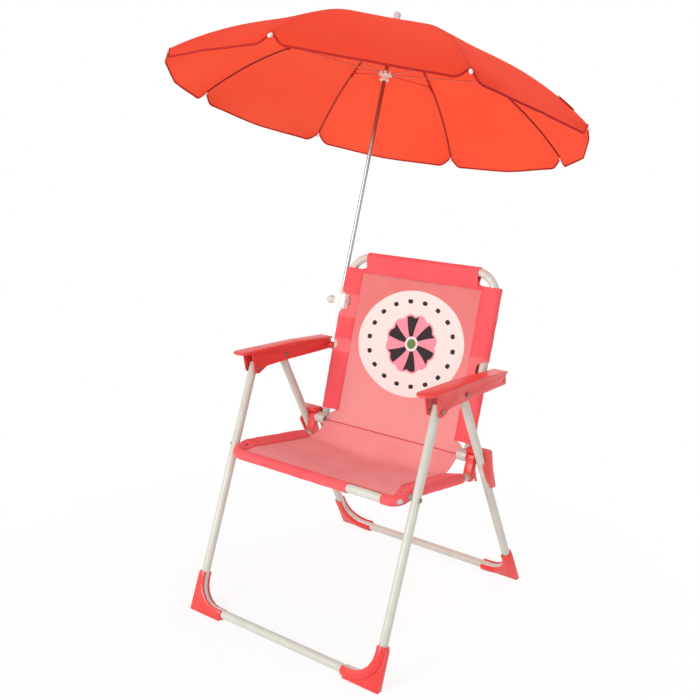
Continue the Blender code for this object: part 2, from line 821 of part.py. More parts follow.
def arm_plan(start_y, inset):
    """Plan outline of the armrest's walls, inset towards their middle."""
    places = arm_stations(start_y)
    places[-1] -= inset
    outline = [Vector((arm_outer(y) - inset, y)) for y in places]
    return outline + [Vector((ARM_INNER_X + inset, y)) for y in places[::-1]]


def build_armrest(side):
    """Moulded armrest: channel walls with pivot lobes, beaked plate and rear boss."""
    name = side_name("armrest", side)
    wall_front = ARM_TIP_Y + ARM_BEAK
    underside = arm_top(wall_front) - ARM_PLATE / 2

    # Side view of the walls, round the front and middle pivots
    outline = [Vector((wall_front, underside))]
    outline += arc(ARM_FRONT_PIVOT, ARM_FRONT_LOBE, 190, 293, 6)
    outline.append(ARM_FRONT_PIVOT + Vector((ARM_LOBE_RUN, 0)))
    outline += arc(ARM_MIDDLE_PIVOT, ARM_MIDDLE_LOBE, 255, 285, 2)
    outline.append(Vector((ARM_REAR_Y, ARM_REAR_Z - ARM_END_DEPTH)))
    for y in arm_stations(wall_front)[::-1][:-1]:
        outline.append(Vector((y, arm_top(y) - ARM_PLATE / 2)))
    mesh_data = bmesh.new()
    add_side_prism(
        mesh_data, outline, ARM_INNER_X - OVERRUN, ARM_OUTER_X + OVERRUN
    )
    armrest = finish_piece(name, mesh_data, name, "coral_plastic", side)

    low = ARM_FRONT_PIVOT.y - ARM_FRONT_LOBE - OVERRUN
    mesh_data = bmesh.new()
    plan = [Vector((p.x, p.y, low)) for p in arm_plan(ARM_TIP_Y, 0)]
    add_prism(mesh_data, plan, UP * (ARM_TIP_Z - low + OVERRUN))
    combine(armrest, finish_tool(name + "_plan", mesh_data, name, side), "INTERSECT")

    # Hollow of the channel, open below and in front
    mesh_data = bmesh.new()
    plan = arm_plan(ARM_TIP_Y - OVERRUN, ARM_WALL)
    half = len(plan) // 2
    lower = [mesh_data.verts.new((p.x, p.y, low - OVERRUN)) for p in plan]
    upper = [
        mesh_data.verts.new((p.x, p.y, arm_top(p.y) - ARM_PLATE)) for p in plan
    ]
    skin(mesh_data, [lower, upper])
    for ring in (lower, upper):
        for k in range(half - 1):
            mesh_data.faces.new((ring[k], ring[k + 1], ring[-k - 2], ring[-k - 1]))
    combine(armrest, finish_tool(name + "_hollow", mesh_data, name, side), "DIFFERENCE")

    # Crowned top plate with a softened edge and a rounded beak
    marks = [(ARM_TIP_Y + ARM_NOSE * share, pinch) for share, pinch in ARM_NOSE_SHARES]
    marks += [(y, 0) for y in arm_stations(ARM_TIP_Y + ARM_NOSE)]
    rings = []
    mesh_data = bmesh.new()
    for drop, inset in (
        (ARM_PLATE, ARM_PLATE_EDGE / 2),
        (ARM_PLATE - ARM_PLATE_EDGE, 0),
        (ARM_PLATE_EDGE, 0),
        (ARM_PLATE_EDGE / 4, ARM_PLATE_EDGE / 2),
        (0, ARM_PLATE_EDGE * 2),
    ):
        outer_edge = []
        inner_edge = []
        for y, pinch in marks:
            outer = arm_outer(y) + ARM_OVERHANG - inset
            inner = ARM_INNER_X - ARM_OVERHANG + inset
            narrow = (outer - inner) * pinch
            outer -= narrow
            inner += narrow
            y += inset * max(0, 1 - (y - ARM_TIP_Y) / ARM_NOSE)
            y = min(y, ARM_REAR_Y - inset)
            height = arm_top(y) - drop
            outer_edge.append(mesh_data.verts.new((outer, y, height)))
            inner_edge.append(mesh_data.verts.new((inner, y, height)))
        rings.append(outer_edge + inner_edge[::-1])
    skin(mesh_data, rings)
    for ring in (rings[0], rings[-1]):
        for k in range(len(marks) - 1):
            mesh_data.faces.new((ring[k], ring[k + 1], ring[-k - 2], ring[-k - 1]))
    combine(armrest, finish_tool(name + "_plate", mesh_data, name, side), "UNION")

    # Boss that stands the rear pivot off the back tube
    boss_x = BACK_TUBE_X + TUBE_RADIUS + CLEARANCE
    mesh_data = bmesh.new()
    add_turned(
        mesh_data,
        (
            (0, ARM_BOSS_RADIUS),
            (ARM_INNER_X + ARM_WALL / 2 - boss_x, ARM_BOSS_RADIUS),
        ),
        TUBE_SIDES,
        side_axis(boss_x, ARM_REAR_PIVOT),
    )
    combine(armrest, finish_tool(name + "_boss", mesh_data, name, side), "UNION")
    for number, pivot in enumerate(
        (ARM_FRONT_PIVOT, ARM_MIDDLE_PIVOT, ARM_REAR_PIVOT)
    ):
        drill = add_pin_cutter(
            f"{name}_drill_{number}",
            pivot,
            RIVET_RADIUS + CLEARANCE,
            boss_x - OVERRUN,
            ARM_OUTER_X + OVERRUN,
            name,
            side,
        )
        combine(armrest, drill, "DIFFERENCE")


def build_bracket(side):
    """Moulded hinge: socket of the back tube, seat ear and saddle of the rear leg."""
    name = side_name("hinge_bracket", side)
    tube_outer = BACK_TUBE_X + TUBE_RADIUS
    inner_x = BACK_TUBE_X - TUBE_RADIUS - CLEARANCE - BRACKET_SOCKET_WALL
    side_x = tube_outer + BRACKET_SIDE_WALL
    cheek_x = LEG_PLANE_X + TUBE_RADIUS + CLEARANCE
    square = Vector((BACK_DIRECTION.y, -BACK_DIRECTION.x))
    half = TUBE_RADIUS + CLEARANCE + BRACKET_SOCKET_WALL
    low = BACK_FOOT - BACK_DIRECTION * BRACKET_FLOOR
    high = BACK_FOOT + BACK_DIRECTION * BRACKET_RISE
    hub = [high - square * half]
    hub += arc(SEAT_REAR_PIVOT, BRACKET_EAR_RADIUS, 130, 280, 6)
    hub += [low + square * half, high + square * half]
    mesh_data = bmesh.new()
    add_side_prism(mesh_data, hub, inner_x, side_x)
    bracket = finish_piece(name, mesh_data, "back", "coral_plastic", side)

    # Web behind the rear leg, deeper at the top, and the cheek outside the leg
    top = leg_point(REAR_CROSS_Y, REAR_LEAN, BRACKET_TOP_Z)
    middle = leg_point(REAR_CROSS_Y, REAR_LEAN, BRACKET_MIDDLE_Z)
    tail = leg_point(REAR_CROSS_Y, REAR_LEAN, BRACKET_TAIL_Z)
    behind = Vector((REAR_LEG_DIRECTION.y, -REAR_LEG_DIRECTION.x))
    rear = [
        tail + Vector((BRACKET_TAIL_DEPTH, 0)),
        middle + Vector((BRACKET_MIDDLE_DEPTH, 0)),
        top + Vector((BRACKET_TOP_DEPTH, -BRACKET_CHAMFER)),
        top + Vector((BRACKET_TOP_DEPTH - BRACKET_CHAMFER, 0)),
    ]
    web = [top + Vector((BRACKET_CRADLE, 0)), tail + Vector((BRACKET_CRADLE, 0))]
    mesh_data = bmesh.new()
    web_x = tube_outer + BRACKET_SIDE_WALL / 2
    add_side_prism(mesh_data, web + rear, web_x, cheek_x + BRACKET_CHEEK / 2)
    combine(bracket, finish_tool(name + "_web", mesh_data, "back", side), "UNION")

    notch = leg_point(REAR_CROSS_Y, REAR_LEAN, BRACKET_TOP_Z - BRACKET_NOTCH_DEPTH)
    ahead = Vector((BRACKET_CHEEK_REACH, 0))
    cheek = [
        leg_point(REAR_CROSS_Y, REAR_LEAN, BRACKET_CHEEK_TOP_Z) - ahead,
        leg_point(REAR_CROSS_Y, REAR_LEAN, BRACKET_CHEEK_FOOT_Z) - ahead,
        tail - Vector((BRACKET_CRADLE, 0)),
    ]
    cheek += rear
    cheek += [top + Vector((BRACKET_CRADLE, 0)), notch + Vector((BRACKET_CRADLE, 0))]
    mesh_data = bmesh.new()
    add_side_prism(mesh_data, cheek, cheek_x, cheek_x + BRACKET_CHEEK)
    combine(bracket, finish_tool(name + "_cheek", mesh_data, "back", side), "UNION")

    # Room for the back tube, the rear leg and the turning end of the seat tube
    mesh_data = bmesh.new()
    square_to_side = Vector((0, square.x, square.y))
    start = on_plane(BACK_TUBE_X, BACK_FOOT - BACK_DIRECTION * CLEARANCE)
    along = Vector((0, BACK_DIRECTION.x, BACK_DIRECTION.y))
    add_bar(
        mesh_data,
        [start, start + along * (BRACKET_RISE + 2 * OVERRUN)],
        circle(TUBE_RADIUS + CLEARANCE, TUBE_SIDES),
        square_to_side,
    )
    combine(bracket, finish_tool(name + "_bore", mesh_data, "back", side), "DIFFERENCE")

    mesh_data = bmesh.new()
    leg_up = Vector((0, REAR_LEG_DIRECTION.x, REAR_LEG_DIRECTION.y))
    add_bar(
        mesh_data,
        [
            on_plane(LEG_PLANE_X, tail) - leg_up * (4 * OVERRUN),
            on_plane(LEG_PLANE_X, top) + leg_up * (4 * OVERRUN),
        ],
        circle(TUBE_RADIUS + CLEARANCE, TUBE_SIDES),
        Vector((0, behind.x, behind.y)),
    )
    combine(bracket, finish_tool(name + "_leg", mesh_data, "back", side), "DIFFERENCE")

    ceiling = SEAT_REAR_PIVOT.y + SEAT_END_LOBE + BRACKET_ROOM_GAP
    room_front = cheek[0].x - OVERRUN
    room_rear = tail.x + 2 * BRACKET_MIDDLE_DEPTH
    room_foot = BRACKET_TAIL_Z - OVERRUN
    room = [
        Vector((room_front, ceiling)),
        Vector((room_rear, ceiling)),
        Vector((room_rear, room_foot)),
        Vector((room_front, room_foot)),
    ]
    leg_inner = LEG_PLANE_X - TUBE_RADIUS
    mesh_data = bmesh.new()
    add_side_prism(mesh_data, room, side_x, leg_inner - CLEARANCE)
    combine(bracket, finish_tool(name + "_room", mesh_data, "back", side), "DIFFERENCE")

    drill = add_pin_cutter(
        name + "_drill",
        SEAT_REAR_PIVOT,
        RIVET_RADIUS + CLEARANCE,
        inner_x - OVERRUN,
        side_x + OVERRUN / 2,
        "back",
        side,
    )
    combine(bracket, drill, "DIFFERENCE")
    seat = add_pin_cutter(
        name + "_counterbore",
        SEAT_REAR_PIVOT,
        RIVET_HEAD_RADIUS + CLEARANCE,
        inner_x - OVERRUN,
        BACK_TUBE_X - TUBE_RADIUS,
        "back",
        side,
    )
    combine(bracket, seat, "DIFFERENCE")


def add_sheet(mesh_data, rows):
    """Closed thin sheet from rows of points on its middle surface."""
    layers = []
    for offset in (CLOTH / 2, -CLOTH / 2):
        layer = []
        for number, row in enumerate(rows):
            before = rows[max(number - 1, 0)]
            after = rows[min(number + 1, len(rows) - 1)]
            centre = len(row) // 2
            normal = (after[centre] - before[centre]).cross(ACROSS).normalized()
            layer.append([mesh_data.verts.new(p + normal * offset) for p in row])
        layers.append(layer)
    for layer in layers:
        for row, following in zip(layer, layer[1:]):
            for k in range(len(row) - 1):
                mesh_data.faces.new(
                    (row[k], row[k + 1], following[k + 1], following[k])
                )
    near, far = layers
    rims = [
        (near[0], far[0]),
        (near[-1], far[-1]),
        ([row[0] for row in near], [row[0] for row in far]),
        ([row[-1] for row in near], [row[-1] for row in far]),
    ]
    for upper, lower in rims:
        for k in range(len(upper) - 1):
            mesh_data.faces.new((upper[k], upper[k + 1], lower[k + 1], lower[k]))


def sheet_row(half_width, place, sag):
    """Points across a sling at one place of the side view, sagging by a vector."""
    row = []
    for k in range(SHEET_COLUMNS + 1):
        share = 2 * k / SHEET_COLUMNS - 1
        shift = sag * (1 - share * share)
        row.append(on_plane(half_width * share, place + shift))
    return row


def corner_half_width(tube_x, bend, grip, distance):
    """Half width of a sheet beside a bent tube, near the bend's outer line."""
    inner = bend - grip
    if distance >= bend:
        return tube_x - grip
    return tube_x - bend + math.sqrt(max(inner**2 - (bend - distance) ** 2, 0))


def sleeve_path_piece(name, path, start, stop, normal, body):
    """Guide sleeve round part of a tube."""
    outer = TUBE_RADIUS + CLEARANCE + CLOTH
    mesh_data = bmesh.new()
    add_tube(mesh_data, sub_path(path, start, stop), outer, CLOTH, TUBE_SIDES, normal)
    return finish_tool(name, mesh_data, body)


def build_back_sling():
    """Back sheet with sleeves on the sides and top, notched at rivets and clamp."""
    grip = TUBE_RADIUS + CLEARANCE + CLOTH / 2
    rows = []
    top = BACK_LENGTH - grip
    square = Vector((BACK_DIRECTION.y, -BACK_DIRECTION.x))
    stops = [
        BACK_LENGTH - BACK_BEND_RADIUS * share for share in (1 / 3, 2 / 3, 1)
    ]
    lower = [
        BACK_SHEET_FOOT + (stops[-1] - BACK_SHEET_FOOT) * k / BACK_ROWS
        for k in range(BACK_ROWS)
    ]
    for along in lower + stops[::-1] + [top]:
        share = along / BACK_LENGTH
        width = corner_half_width(
            BACK_TUBE_X, BACK_BEND_RADIUS, grip, BACK_LENGTH - along
        )
        risen = min(1, (along - BACK_SHEET_FOOT) / BACK_FOOT_RUN)
        sag = square * (BACK_SAG * risen * math.sin(math.pi * (1 + 2 * share) / 3))
        forward = square * (BACK_FOOT_FORWARD * (1 - risen) ** 2)
        place = BACK_FOOT + BACK_DIRECTION * along - forward
        rows.append(sheet_row(width, place, sag))
    mesh_data = bmesh.new()
    add_sheet(mesh_data, rows)
    sling = finish_piece("back_sling", mesh_data, "back", "sling_cloth")

    path = back_path()
    normal = BACK_FRAME.to_3x3() @ Vector((0, 1, 0))
    whole = path_length(path)
    spans = (
        (BACK_SLEEVE_FOOT, BACK_SLEEVE_TOP),
        (whole - BACK_SLEEVE_TOP, whole - BACK_SLEEVE_FOOT),
        (whole / 2 - BACK_TOP_SLEEVE_X, whole / 2 + BACK_TOP_SLEEVE_X),
    )
    for number, (start, stop) in enumerate(spans):
        tool = sleeve_path_piece(
            f"back_sling_sleeve_{number}", path, start, stop, normal, "back"
        )
        combine(sling, tool, "UNION")

    # Cut-outs at the armrests' rivets, the clamp and the brackets
    arm = (ARM_REAR_PIVOT - BACK_FOOT).length
    foot_half = (BACK_SLEEVE_FOOT - BACK_SHEET_FOOT + OVERRUN) / 2
    foot = BACK_SLEEVE_FOOT - foot_half
    notches = (
        (1, arm + ARM_NOTCH_RISE, ARM_NOTCH_HALF, ARM_NOTCH_DEPTH),
        (-1, arm + ARM_NOTCH_RISE, ARM_NOTCH_HALF, ARM_NOTCH_DEPTH),
        (-1, CLAMP_RISE, CLAMP_NOTCH_HALF, NOTCH_DEPTH),
        (1, foot, foot_half, NOTCH_DEPTH),
        (-1, foot, foot_half, NOTCH_DEPTH),
    )
    for number, (side, centre, half, depth) in enumerate(notches):
        inner = side * (BACK_TUBE_X - depth)
        outer = side * LEG_PLANE_X
        flare = half * (1 + NOTCH_FLARE_SHARE)
        outline = [
            Vector((inner, -BACK_SAG, centre - half)),
            Vector((inner, -BACK_SAG, centre + half)),
            Vector((outer, -BACK_SAG, centre + flare)),
            Vector((outer, -BACK_SAG, centre - flare)),
        ]
        mesh_data = bmesh.new()
        add_prism(mesh_data, [BACK_FRAME @ p for p in outline], normal * (3 * BACK_SAG))
        cut = finish_tool(f"back_sling_notch_{number}", mesh_data, "back")
        combine(sling, cut, "DIFFERENCE")


def build_seat_sling():
    """Seat sheet with sleeves on the sides and front, open at one front corner."""
    grip = TUBE_RADIUS + CLEARANCE + CLOTH / 2
    reach = (SEAT_FRONT_PIVOT - SEAT_FRONT_BAR).length
    front = (SEAT_FRONT_BAR - SEAT_FRONT_PIVOT).normalized()
    places = []
    for share in (0, 1 / 3, 2 / 3, 1):
        distance = grip + (SEAT_BEND_RADIUS - grip) * share
        point = SEAT_FRONT_PIVOT + front * (reach - distance)
        width = corner_half_width(SEAT_TUBE_X, SEAT_BEND_RADIUS, grip, distance)
        places.append((point, width))
    edge = SEAT_TUBE_X - grip
    sleeve_end = SEAT_RUN - SEAT_SLEEVE_GAP
    for k in range(SEAT_ROWS + 1):
        along = SEAT_KINK_BEHIND + (sleeve_end - SEAT_KINK_BEHIND) * k / SEAT_ROWS
        point = SEAT_KINK + SEAT_DIRECTION * (along - SEAT_KINK_BEHIND)
        places.append((point, edge))
    tail = (SEAT_SHEET_END - places[-1][0]) / 2
    for share in (1, 2):
        places.append((places[-1][0] + tail, edge - SEAT_TAIL_INSET))
    rows = []
    whole = len(places) - 1
    for number, (point, width) in enumerate(places):
        share = number / whole
        depth = SEAT_SAG * 4 * share * (1 - share)
        run = (point.x - SEAT_FRONT_BAR.x) / (SEAT_SHEET_END.x - SEAT_FRONT_BAR.x)
        lift = SEAT_FRONT_BAR.lerp(SEAT_SHEET_END, run).y - point.y
        rows.append(sheet_row(width, point, Vector((0, lift - depth))))
    mesh_data = bmesh.new()
    add_sheet(mesh_data, rows)
    sling = finish_piece("seat_sling", mesh_data, "seat", "sling_cloth")

    path = seat_path()
    total = path_length(path)
    start = SEAT_SLEEVE_GAP
    stop = SEAT_RUN - SEAT_SLEEVE_FRONT
    centre = total / 2
    spans = [
        (start, stop),
        (centre - SEAT_OPENING_OUTER_X - 2 * SEAT_CORNER_STUB, centre - SEAT_OPENING_OUTER_X),
        (centre - SEAT_OPENING_INNER_X, centre + SEAT_OPENING_OUTER_X + SEAT_CORNER_STUB),
        (total - stop, total - start),
    ]
    for number, (first, last) in enumerate(spans):
        tool = sleeve_path_piece(
            f"seat_sling_sleeve_{number}", path, first, last, UP, "seat"
        )
        combine(sling, tool, "UNION", "MANIFOLD")
    for side in (1, -1):
        mesh_data = bmesh.new()
        inner = SEAT_TUBE_X - TUBE_RADIUS - SEAT_NOTCH_DEPTH
        low = SEAT_FRONT_PIVOT - Vector((SEAT_NOTCH_HALF, SEAT_SAG + OVERRUN))
        outline = [
            Vector((inner, low.x, low.y)),
            Vector((LEG_PLANE_X, low.x, low.y)),
            Vector((LEG_PLANE_X, low.x + 2 * SEAT_NOTCH_HALF, low.y)),
            Vector((inner, low.x + 2 * SEAT_NOTCH_HALF, low.y)),
        ]
        add_prism(mesh_data, outline, UP * (2 * (SEAT_SAG + OVERRUN)))
        cut = finish_tool(side_name("seat_sling_notch", side), mesh_data, "seat", side)
        combine(sling, cut, "DIFFERENCE")


def clamp_outline(points):
    """Outline across the clamp, from places in the clamp's own axes."""
    return [
        CLAMP_FRAME @ Vector((x, y, -CLAMP_HALF_HEIGHT)) for x, y in points
    ]


def build_clamp():
    """Two halves of the clamp with the pole's socket, and the knobbed screw."""
    up = CLAMP_FRAME.to_3x3() @ UP
    height = up * (2 * CLAMP_HALF_HEIGHT)
    pole_bore = POLE_RADIUS + CLEARANCE
    socket = pole_bore + SOCKET_WALL
    split = CLEARANCE / 2
    centre = Vector((-POLE_SIDE_OFFSET, POLE_REAR_OFFSET))
    body = [(-split, -CLAMP_FRONT), (-CLAMP_FLANK + OVERRUN / 2, -CLAMP_FRONT)]
    body.append((-CLAMP_FLANK, -CLAMP_FRONT + OVERRUN / 2))
    body.append((-CLAMP_FLANK, -TUBE_RADIUS))
    body += [tuple(p) for p in arc(centre, socket, 200, 80, 6)]
    body.append((-split, CLAMP_REAR))
    mesh_data = bmesh.new()
    add_prism(mesh_data, clamp_outline(body), height)
    clamp = finish_piece("clamp_body", mesh_data, "back", "white_plastic")

    axis = PARASOL_TURN.to_3x3() @ UP
    side = PARASOL_TURN.to_3x3() @ Vector((0, 1, 0))
    foot = POLE_IN_CLAMP - axis * (CLAMP_HALF_HEIGHT - SOCKET_FLOOR)
    mesh_data = bmesh.new()
    add_bar(
        mesh_data,
        [foot, POLE_IN_CLAMP + axis * SOCKET_TOP],
        circle(socket, TUBE_SIDES),
        side,
    )
    combine(clamp, finish_tool("clamp_socket", mesh_data, "back"), "UNION")
    mesh_data = bmesh.new()
    add_bar(
        mesh_data,
        [foot + axis * SOCKET_FLOOR, POLE_IN_CLAMP + axis * (SOCKET_TOP + OVERRUN)],
        circle(pole_bore, TUBE_SIDES),
        side,
    )
    combine(clamp, finish_tool("clamp_pole_bore", mesh_data, "back"), "DIFFERENCE")

    jaw_points = [
        (split, CLAMP_REAR),
        (CLAMP_JAW_WIDTH - OVERRUN / 2, CLAMP_REAR),
        (CLAMP_JAW_WIDTH, CLAMP_REAR - OVERRUN / 2),
        (CLAMP_JAW_WIDTH, -CLAMP_FRONT + OVERRUN / 2),
        (CLAMP_JAW_WIDTH - OVERRUN / 2, -CLAMP_FRONT),
        (split, -CLAMP_FRONT),
    ]
    mesh_data = bmesh.new()
    add_prism(mesh_data, clamp_outline(jaw_points), height)
    jaw = finish_piece("clamp_jaw", mesh_data, "back", "white_plastic")

    mesh_data = bmesh.new()
    low = CLAMP_FRAME @ Vector((0, 0, -CLAMP_HALF_HEIGHT - OVERRUN))
    add_bar(
        mesh_data,
        [low, low + height + up * (2 * OVERRUN)],
        circle(TUBE_RADIUS + CLEARANCE, TUBE_SIDES),
        CLAMP_FRAME.to_3x3() @ Vector((0, 1, 0)),
    )
    groove = finish_tool("clamp_groove", mesh_data, "back")
    screw_frame = (
        CLAMP_FRAME
        @ Matrix.Translation((0, -SCREW_FRONT, 0))
        @ Matrix.Rotation(math.radians(90), 4, "Y")
    )
    mesh_data = bmesh.new()
    reach = CLAMP_FLANK + OVERRUN
    add_turned(
        mesh_data,
        (
            (-reach, SCREW_RADIUS + CLEARANCE),
            (reach, SCREW_RADIUS + CLEARANCE),
        ),
        RIVET_SIDES,
        screw_frame,
    )
    drill = finish_tool("clamp_screw_hole", mesh_data, "back")
    for half in (clamp, jaw):
        combine(half, groove, "DIFFERENCE")
        combine(half, drill, "DIFFERENCE")

    # Knob: ball, neck and screw, turned about the screw's axis
    neck = -CLAMP_FLANK - CLEARANCE
    ball = neck - KNOB_NECK - KNOB_RADIUS * 4 / 5
    profile = []
    for k in range(1, 8):
        angle = math.radians(180 * k / 9)
        profile.append(
            (ball - KNOB_RADIUS * math.cos(angle), KNOB_RADIUS * math.sin(angle))
        )
    profile += [
        (neck, KNOB_NECK_RADIUS),
        (neck, SCREW_RADIUS),
        (CLAMP_JAW_WIDTH + OVERRUN / 4, SCREW_RADIUS),
    ]
    mesh_data = bmesh.new()
    add_turned(mesh_data, profile, KNOB_SIDES, screw_frame)
    finish_piece("clamp_knob", mesh_data, "clamp_knob", "clear_plastic")


CANOPY_BALL = (CANOPY_RADIUS**2 + CANOPY_RISE**2) / (2 * CANOPY_RISE)
RIB_DROP = CANOPY_CLOTH / 2 + CLEARANCE + RIB_RADIUS + RIB_SLACK
STRETCHER_DROP = RIB_DROP + RIB_RADIUS + CLEARANCE + STRETCHER_RADIUS


def dome_place(radius, drop=0.0):
    """Place (radius, height over the rim) under the ribs' line, square to the cloth."""
    height = math.sqrt(CANOPY_BALL**2 - radius**2)
    share = 1 - drop / CANOPY_BALL
    return Vector((radius * share, height * share - CANOPY_BALL + CANOPY_RISE))


HINGE_PLACE = Vector((HINGE_RING_RADIUS, dome_place(HINGE_RING_RADIUS, RIB_DROP).y))
STRETCHER_PLACE = dome_place(STRETCHER_JOINT_RADIUS, STRETCHER_DROP)
RUNNER_HEIGHT = 2 * STRETCHER_PLACE.y - HINGE_PLACE.y
CANOPY_RADII = [
    CANOPY_EYE + (CANOPY_RADIUS - CANOPY_EYE) * k / CANOPY_ROWS
    for k in range(CANOPY_ROWS + 1)
]


def rib_frame(number):
    """Frame of one rib, X along its radius and Z along the pole."""
    angle = RIB_PHASE + 2 * math.pi * number / RIB_COUNT
    return PARASOL_FRAME @ Matrix.Rotation(angle, 4, "Z")


def in_frame(frame, place):
    """Point in a rib's plane from its (radius, height) place."""
    return frame @ Vector((place.x, 0, place.y))


def build_ribs():
    """Eight ribs with white tips, and the eight stretchers that push them open."""
    for number in range(RIB_COUNT):
        frame = rib_frame(number)
        normal = frame.to_3x3() @ Vector((0, 1, 0))
        path = [in_frame(frame, HINGE_PLACE)]
        path += [in_frame(frame, dome_place(r, RIB_DROP)) for r in CANOPY_RADII[1:]]
        out = (path[-1] - path[-2]).normalized()
        start = path[-1] + out * RIB_TIP_RADIUS
        radii = [RIB_RADIUS] * len(path)
        for share, size in RIB_TIP_SHARES:
            path.append(start + out * (RIB_TIP_LENGTH * share))
            radii.append(RIB_TIP_RADIUS * size)
        mesh_data = bmesh.new()
        rings = sweep_rings(mesh_data, path, circle(RIB_RADIUS, RIB_SIDES), normal)
        for ring, place, size in zip(rings, path, radii):
            for vertex in ring:
                vertex.co = place + (vertex.co - place) * (size / RIB_RADIUS)
        skin(mesh_data, rings)
        mesh_data.faces.new(rings[0])
        mesh_data.faces.new(rings[-1])
        finish_piece(f"rib_{number + 1}", mesh_data, f"rib_{number + 1}", "chrome")

        joint = in_frame(frame, STRETCHER_PLACE)
        hub = in_frame(frame, Vector((HINGE_RING_RADIUS, RUNNER_HEIGHT)))
        mesh_data = bmesh.new()
        add_bar(mesh_data, [joint, hub], circle(STRETCHER_RADIUS, RIB_SIDES), normal)
        name = f"stretcher_{number + 1}"
        finish_piece(name, mesh_data, name, "chrome")


def slotted_ring(radius, core):
    """Outline with one slot for each rib, or plain where the core is None."""
    points = []
    for number in range(RIB_COUNT):
        middle = RIB_PHASE + 2 * math.pi * number / RIB_COUNT
        edge = math.asin(SLOT_HALF / radius)
        if core is None:
            slot = [(radius, -edge / 2), (radius, edge / 2)]
        else:
            inner = math.asin(SLOT_HALF / core)
            slot = [(core, -inner), (core, inner)]
        between = math.pi / RIB_COUNT
        marks = [(radius, -edge)] + slot + [(radius, edge), (radius, between)]
        points += [
            Vector((r * math.cos(middle + a), r * math.sin(middle + a)))
            for r, a in marks
        ]
    return points


def build_hub(name, body, levels, bore):
    """Moulded hub on the pole from (height, radius, slot core) levels."""
    mesh_data = bmesh.new()
    outer = []
    for height, radius, core in levels:
        outer.append(
            [
                mesh_data.verts.new(PARASOL_FRAME @ Vector((p.x, p.y, height)))
                for p in slotted_ring(radius, core)
            ]
        )
    skin(mesh_data, outer)
    inner = []
    for height in (levels[0][0], levels[-1][0]):
        points = [p.normalized() * bore for p in slotted_ring(levels[0][1], None)]
        inner.append(
            [
                mesh_data.verts.new(PARASOL_FRAME @ Vector((p.x, p.y, height)))
                for p in points
            ]
        )
    skin(mesh_data, inner)
    skin(mesh_data, [outer[0], inner[0]])
    skin(mesh_data, [outer[-1], inner[-1]])
    finish_piece(name, mesh_data, body, "white_plastic")


def build_pole():
    """Pole, crown that carries the ribs, finial over the cloth, and runner."""
    side = PARASOL_TURN.to_3x3() @ Vector((0, 1, 0))
    top = HINGE_PLACE.y + RIB_RADIUS - CLEARANCE
    foot = SOCKET_FLOOR - (CLAMP_HALF_HEIGHT - SOCKET_FLOOR) - RIM_ABOVE_CLAMP
    foot += CLEARANCE
    path = [PARASOL_FRAME @ Vector((0, 0, h)) for h in (foot, top)]
    mesh_data = bmesh.new()
    add_tube(mesh_data, path, POLE_RADIUS, POLE_WALL, TUBE_SIDES, side)
    finish_piece("pole", mesh_data, "pole", "chrome")

    bore = POLE_RADIUS + CLEARANCE
    crown_top = HINGE_PLACE.y + CROWN_TOP_GAP
    build_hub(
        "crown",
        "pole",
        (
            (crown_top - CROWN_BELOW - CROWN_TOP_GAP, CROWN_CORE, None),
            (crown_top - CROWN_BELOW * 3 / 4, CROWN_CORE, None),
            (crown_top - CROWN_BELOW * 3 / 4, CROWN_RADIUS, CROWN_CORE),
            (crown_top, CROWN_RADIUS, CROWN_CORE),
        ),
        bore,
    )
    flange_top = RUNNER_HEIGHT + RUNNER_FLANGE / 2
    flange_foot = RUNNER_HEIGHT - RUNNER_FLANGE / 2
    foot_top = flange_foot - RUNNER_WAIST
    build_hub(
        "runner",
        "runner",
        (
            (foot_top - RUNNER_FOOT, RUNNER_FOOT_RADIUS, None),
            (foot_top, RUNNER_FOOT_RADIUS, None),
            (foot_top + RUNNER_FOOT / 2, RUNNER_WAIST_RADIUS, None),
            (flange_foot, RUNNER_WAIST_RADIUS, None),
            (flange_foot, RUNNER_RADIUS, CROWN_CORE),
            (flange_top, RUNNER_RADIUS, CROWN_CORE),
        ),
        bore,
    )

    seat = CANOPY_RISE + CANOPY_CLOTH / 2 + CLEARANCE
    stub = POLE_RADIUS - POLE_WALL - CLEARANCE
    profile = [
        (seat - FINIAL_STUB, stub),
        (seat, stub),
        (seat, FINIAL_FLANGE_RADIUS),
        (seat + FINIAL_FLANGE, FINIAL_FLANGE_RADIUS * 4 / 5),
        (seat + FINIAL_FLANGE, FINIAL_RADIUS),
    ]
    profile += [
        (seat + FINIAL_HEIGHT * along, FINIAL_RADIUS * size)
        for along, size in FINIAL_SHARES
    ]
    mesh_data = bmesh.new()
    add_turned(mesh_data, profile, KNOB_SIDES, PARASOL_FRAME)
    finish_piece("finial", mesh_data, "pole", "white_plastic")


def canopy_point(radius, share):
    """Point on a flat panel between two ribs, share 0 to 1 across it."""
    half = math.pi / RIB_COUNT
    height = dome_place(radius).y
    start = Vector((radius * math.cos(half), -radius * math.sin(half), height))
    stop = Vector((start.x, -start.y, height))
    return start.lerp(stop, share)


